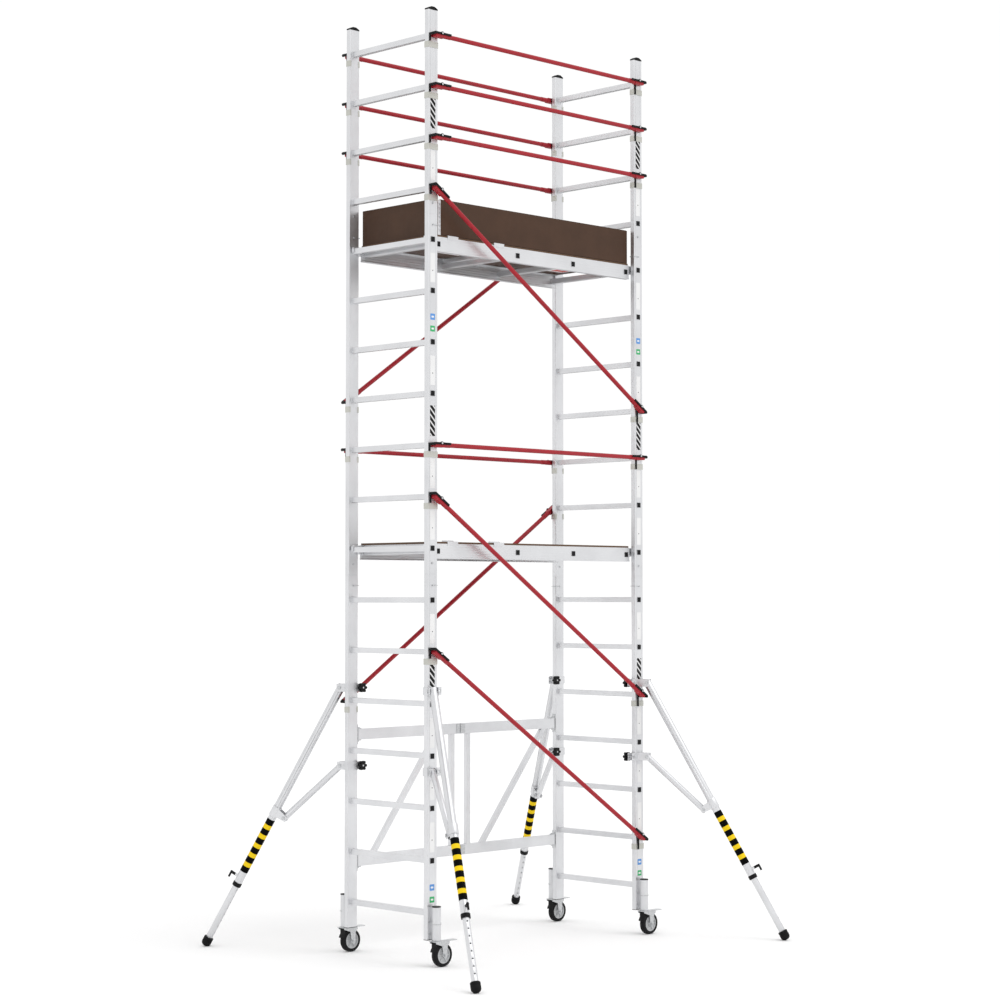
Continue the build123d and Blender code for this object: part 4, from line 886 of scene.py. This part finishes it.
labels = {"white": [], "band": [], "blue": [], "green": [], "sign": [], "mark": []}
for corner, (sx, sy) in CORNERS.items():
    x = sx * STILE_X
    for gap in range(1, 18):
        base = rung_height(gap)
        tag = f"{corner}_{gap}"
        if gap in BAND_GAPS:
            labels["band"].append(label(f"band_{tag}", x, sy, base, BAND_SPAN))
        elif gap in SQUARE_GAPS:
            labels["blue"].append(label(f"blue_{tag}", x, sy, base, BLUE_SPAN, SQUARE_WIDE))
            labels["green"].append(label(f"green_{tag}", x, sy, base, GREEN_SPAN, SQUARE_WIDE))
            for middle in SIGN_MIDDLES:
                span = (middle - SIGN_HALF, middle + SIGN_HALF)
                labels["sign"].append(label(
                    f"sign_{tag}_{middle}", x, sy, base, span, SIGN_WIDE, LABEL_THICK))
        elif gap not in BARE_GAPS:
            span = SHORT_SPAN if gap == SHORT_GAP else WHITE_SPAN
            labels["white"].append(label(f"white_{tag}", x, sy, base, span))
            labels["mark"].append(label_mark(f"mark_{tag}", x, sy, base + MARK_HEIGHT))
label_finishes = {
    "white": label_inks["white"], "band": chevrons, "blue": label_inks["blue"],
    "green": label_inks["green"], "sign": label_inks["white"], "mark": black_plastic}
for kind, pieces in labels.items():
    finish_piece(merge_pieces(f"{kind}_labels", pieces), label_finishes[kind], "root")
    print(kind, len(pieces), "labels")

# %% [markdown]
# ## Studs in the brace latches
#
# A bright stud shows in the pull ring of each latch. It is a short drum with a bevelled rim on the
# outer side of the claw, a fixed way along the brace from the stile and a little above its axis. The
# braces lie at many slopes, so each stud's place is worked out from its brace's two rungs.
# %% Latch studs
RAIL_RUNGS = (18, 17, 16, 10)
FRONT_DIAGONALS = ((15, 11), (9, 5), (6, 2))
REAR_DIAGONALS = ((11, 15), (5, 9))
STUD_ALONG = 0.029
STUD_UP = 0.009
STUD_RADIUS = 0.0062
STUD_SUNK = 0.003
STUD_PROUD = 0.0015
LATCH_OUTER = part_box("brace_latches")[1].y - OUTER_FACE


def latch_stud(name, sign, across, left, right):
    slope = math.atan2(rung_height(right) - rung_height(left), 2 * STILE_X)
    along = Vector((-sign * math.cos(slope), 0, -sign * math.sin(slope)))
    up = Vector((-math.sin(slope), 0, math.cos(slope)))
    number = left if sign < 0 else right
    stile = Vector((sign * STILE_X, across * OUTER_FACE, rung_height(number)))
    place = stile + along * STUD_ALONG + up * STUD_UP
    out = Vector((0, across, 0))
    return drum(
        name, place + out * (LATCH_OUTER - STUD_SUNK), place + out * (LATCH_OUTER + STUD_PROUD),
        STUD_RADIUS, 20)


braces = [(across, rung, rung) for across in (-1, 1) for rung in RAIL_RUNGS]
braces += [(-1, left, right) for left, right in FRONT_DIAGONALS]
braces += [(1, left, right) for left, right in REAR_DIAGONALS]
studs = [
    latch_stud(f"stud_{across}_{left}_{right}_{sign}", sign, across, left, right)
    for across, left, right in braces for sign in (-1, 1)]
piece = merge_pieces("latch_studs", studs)
round_edges(piece, 0.001, 3)
finish_piece(piece, zinc, "root")
print(len(studs), "latch studs")

# %% [markdown]
# ## Rivets on the decks
#
# Blind rivets hold the hooks and cross tubes in the deck's side beams. A rivet's head is a short drum
# with a generous bevel, sunk slightly into the beam so that no gap shows. A half sphere would stand
# too proud for a blind rivet.
# %% Deck rivets
RIVET = 0.0042
BEAM_RECESS = 0.0028
HEAD_SUNK = 0.0005
HEAD_PROUD = 0.002
RIVET_SPOTS = ((0.006, 0.018), (0.006, -0.040), (0.052, 0.018))
DECKS = {"lower": 8, "upper": 14}
beam_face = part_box("deck_frames")[1].y - BEAM_RECESS
panel_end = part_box("deck_panels")[1].x


def rivet(name, x, across, z):
    return drum(
        name, (x, across * (beam_face - HEAD_SUNK), z), (x, across * (beam_face + HEAD_PROUD), z),
        RIVET, 20)


rivets = []
for deck, number in DECKS.items():
    height = rung_height(number)
    for across in (-1, 1):
        for end in (-1, 1):
            for dx, dz in RIVET_SPOTS:
                name = f"rivet_{deck}_{across}_{end}_{dx}_{dz}"
                rivets.append(rivet(name, end * (panel_end - dx), across, height + dz))
piece = merge_pieces("deck_rivets", rivets)
round_edges(piece, 0.0009, 3)
finish_piece(piece, cast_finish, "root")
print(len(rivets), "rivets")

# %% [markdown]
# ## Finger pulls in the trapdoors
#
# Each trapdoor has a slot to lift it by. A black moulded cup lines the slot: a block that fits the
# slot, its top inset to leave a rim and then pushed down to make the hollow. Inset and extrude keep
# the wall even, which cutting one block from another would not do as cleanly.
# %% Hatch cups
CUP_LIP = 0.0012
CUP_DEPTH = 0.0098
CUP_HALF_LENGTH = 0.0448
CUP_FROM_EDGE = (0.0598, 0.0302)
CUP_RIM = 0.004
CUP_HOLLOW = 0.7
PANEL_TOP = 0.0373


def hatch_cup(name, low, high):
    piece = block(name, low, high)
    edit(piece)
    pick_faces(piece, lambda place, normal: normal.z > 0.9)
    bpy.ops.mesh.inset(thickness=CUP_RIM)
    push_faces(-(high[2] - low[2]) * CUP_HOLLOW)
    leave_edit()
    round_edges(piece, 0.0006)
    return piece


for deck, number in DECKS.items():
    low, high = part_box(f"{deck}_hatch")
    middle = (low.x + high.x) / 2
    panel_top = rung_height(number) + PANEL_TOP
    cup_low = (middle - CUP_HALF_LENGTH, high.y - CUP_FROM_EDGE[0], panel_top - CUP_DEPTH)
    cup_high = (middle + CUP_HALF_LENGTH, high.y - CUP_FROM_EDGE[1], panel_top + CUP_LIP)
    cup = hatch_cup(f"{deck}_hatch_cup", cup_low, cup_high)
    finish_piece(cup, black_plastic, f"{deck}_hatch")
    print(cup.name, "at", round(middle, 3))

# %% [markdown]
# ## Under the decks
#
# A trapdoor is held shut by a small catch under its free edge: a black block with a red slide in it.
# A white label with red blocks and no lettering is stuck under each trapdoor and under each panel. The
# red blocks are pieces of their own on the plate, which keeps their edges crisp without an image.
# %% Catches and labels under the decks
CATCH_FROM_END = 0.055
CATCH_FROM_EDGE = 0.055
CATCH_HALF_LONG = 0.035
CATCH_HALF_WIDE = 0.022
CATCH_DROP = 0.020
SLIDE_SPAN = (-0.020, 0.026)
SLIDE_HALF_WIDE = 0.008
SLIDE_DROP = (0.024, 0.013)
PANEL_UNDERSIDE = 0.027
HATCH_LABEL = (-0.29, 0.07)
PANEL_LABEL = (0.64, 0.13)
LABEL_HALF_LONG = 0.095
LABEL_HALF_WIDE = 0.060
RED_STEP = 0.058
RED_HALF_LONG = 0.022
RED_HALF_WIDE = 0.040


def under_label(name, x, y, top, half_long, half_wide):
    low = (x - half_long, y - half_wide, top - LABEL_THICK)
    piece = block(name, low, (x + half_long, y + half_wide, top))
    edit(piece)
    pick_edges(piece, lambda a, b: abs(a.z - b.z) > LABEL_THICK / 2)
    bpy.ops.mesh.bevel(offset=0.004, segments=3, affect="EDGES")
    leave_edit()
    return piece


def stick_label(name, spot, top, body):
    """A white plate under a board, with three red blocks on it."""
    x, y = spot
    plate = under_label(f"{name}_plate", x, y, top, LABEL_HALF_LONG, LABEL_HALF_WIDE)
    finish_piece(plate, label_inks["white"], body)
    blocks = [
        under_label(
            f"{name}_block_{step}", x + step * RED_STEP, y, top - LABEL_THICK,
            RED_HALF_LONG, RED_HALF_WIDE)
        for step in (-1, 0, 1)]
    finish_piece(merge_pieces(f"{name}_blocks", blocks), label_inks["red"], body)


for deck, number in DECKS.items():
    low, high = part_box(f"{deck}_hatch")
    x, y = low.x + CATCH_FROM_END, high.y - CATCH_FROM_EDGE
    base = block(
        f"{deck}_catch", (x - CATCH_HALF_LONG, y - CATCH_HALF_WIDE, low.z - CATCH_DROP),
        (x + CATCH_HALF_LONG, y + CATCH_HALF_WIDE, low.z + 0.0002))
    edit(base)
    pick_faces(base, lambda place, normal: normal.z < -0.9)
    bpy.ops.mesh.inset(thickness=0.006)
    push_faces(-0.006)
    leave_edit()
    round_edges(base, 0.0012)
    finish_piece(base, black_plastic, f"{deck}_hatch")
    slide = block(
        f"{deck}_catch_slide", (x + SLIDE_SPAN[0], y - SLIDE_HALF_WIDE, low.z - SLIDE_DROP[0]),
        (x + SLIDE_SPAN[1], y + SLIDE_HALF_WIDE, low.z - SLIDE_DROP[1]))
    round_edges(slide, 0.002, 3)
    finish_piece(slide, red_paint, f"{deck}_hatch")
    stick_label(f"{deck}_hatch_label", HATCH_LABEL, low.z, f"{deck}_hatch")
    stick_label(f"{deck}_panel_label", PANEL_LABEL, rung_height(number) + PANEL_UNDERSIDE, "root")
    print(deck, "deck has its catch and two labels")

# %% [markdown]
# ## Floor
#
# A wide pale floor runs past the edge of every view, so that no horizon line shows. A dark card that
# only the metal sees lies on the floor behind the tower, so that the undersides have something darker
# to reflect. A second lamp could not darken anything, and a card can.
# %% Floor
FLOOR_SIZE = 400
FLOOR_WHITE = (0.93, 0.93, 0.93)
FLOOR_DROP = 0.0005
CARD_SIZE = 60
CARD_PLACE = (26, 26, 0.002)
CARD_GREY = (0.25, 0.25, 0.25)


def matt(name, colour, piece):
    """A matt finish, slightly uneven, for something that is only part of the studio."""
    material, shader = start_material(name, colour, 0.0, 0.9, 0.0)
    vary(material, object_noise(material, 2.0), 0.86, 0.94, shader.inputs["Roughness"])
    piece.data.materials.append(material)


bpy.ops.mesh.primitive_plane_add(size=FLOOR_SIZE)
floor = bpy.context.object
floor.name = "floor"
matt("pale_floor", FLOOR_WHITE, floor)
floor.location.z = -FLOOR_DROP
bpy.ops.mesh.primitive_plane_add(
    size=CARD_SIZE, location=CARD_PLACE, rotation=(0, 0, math.radians(45)))
card = bpy.context.object
card.name = "dark_card"
matt("dark_card", CARD_GREY, card)
card.visible_camera = False
card.visible_diffuse = False
card.visible_shadow = False
print("floor", FLOOR_SIZE, "m wide, card", CARD_SIZE, "m wide")

# %% [markdown]
# ## World and lamp
#
# An even white world gives the soft, nearly shadowless light of a studio, and turns the floor pure
# white. One weak sun with a very wide disc adds the softest of contact shadows under the wheels and
# feet. The Standard view keeps white as white, where a filmic one would grey it.
# %% World and lamp
WORLD_STRENGTH = 1.02
SUN_STRENGTH = 0.7
SUN_DISC = 40
SUN_TILT = (math.radians(32), math.radians(14), 0)

world = bpy.data.worlds.new("studio")
bpy.context.scene.world = world
world.use_nodes = True
sky = world.node_tree.nodes["Background"]
sky.inputs["Color"].default_value = (1, 1, 1, 1)
sky.inputs["Strength"].default_value = WORLD_STRENGTH
bpy.context.scene.view_settings.view_transform = "Standard"
bpy.ops.object.light_add(type="SUN", location=(2.0, -6.0, 9.0), rotation=SUN_TILT)
sun = bpy.context.object
sun.name = "soft_sun"
sun.data.energy = SUN_STRENGTH
sun.data.angle = math.radians(SUN_DISC)
print("world at", WORLD_STRENGTH, "and sun at", SUN_STRENGTH)

# %% [markdown]
# ## Camera
#
# The camera stands well back on the diagonal, about two metres up, and looks slightly upwards through
# a long lens. A short lens close by would make the stiles lean together.
# %% Camera
CAMERA_PLACE = (-9.319, -9.3285, 1.988)
CAMERA_PITCH = 92.40
CAMERA_TURN = -45.015
SENSOR = 36
LENS = 82.26
FAR_ENOUGH = 300

bpy.ops.object.camera_add(location=CAMERA_PLACE)
camera = bpy.context.object
camera.name = "camera"
camera.rotation_euler = (math.radians(CAMERA_PITCH), 0, math.radians(CAMERA_TURN))
camera.data.sensor_width = SENSOR
camera.data.lens = LENS
camera.data.clip_end = FAR_ENOUGH
bpy.context.scene.camera = camera
print("camera at", tuple(round(v, 3) for v in camera.location))
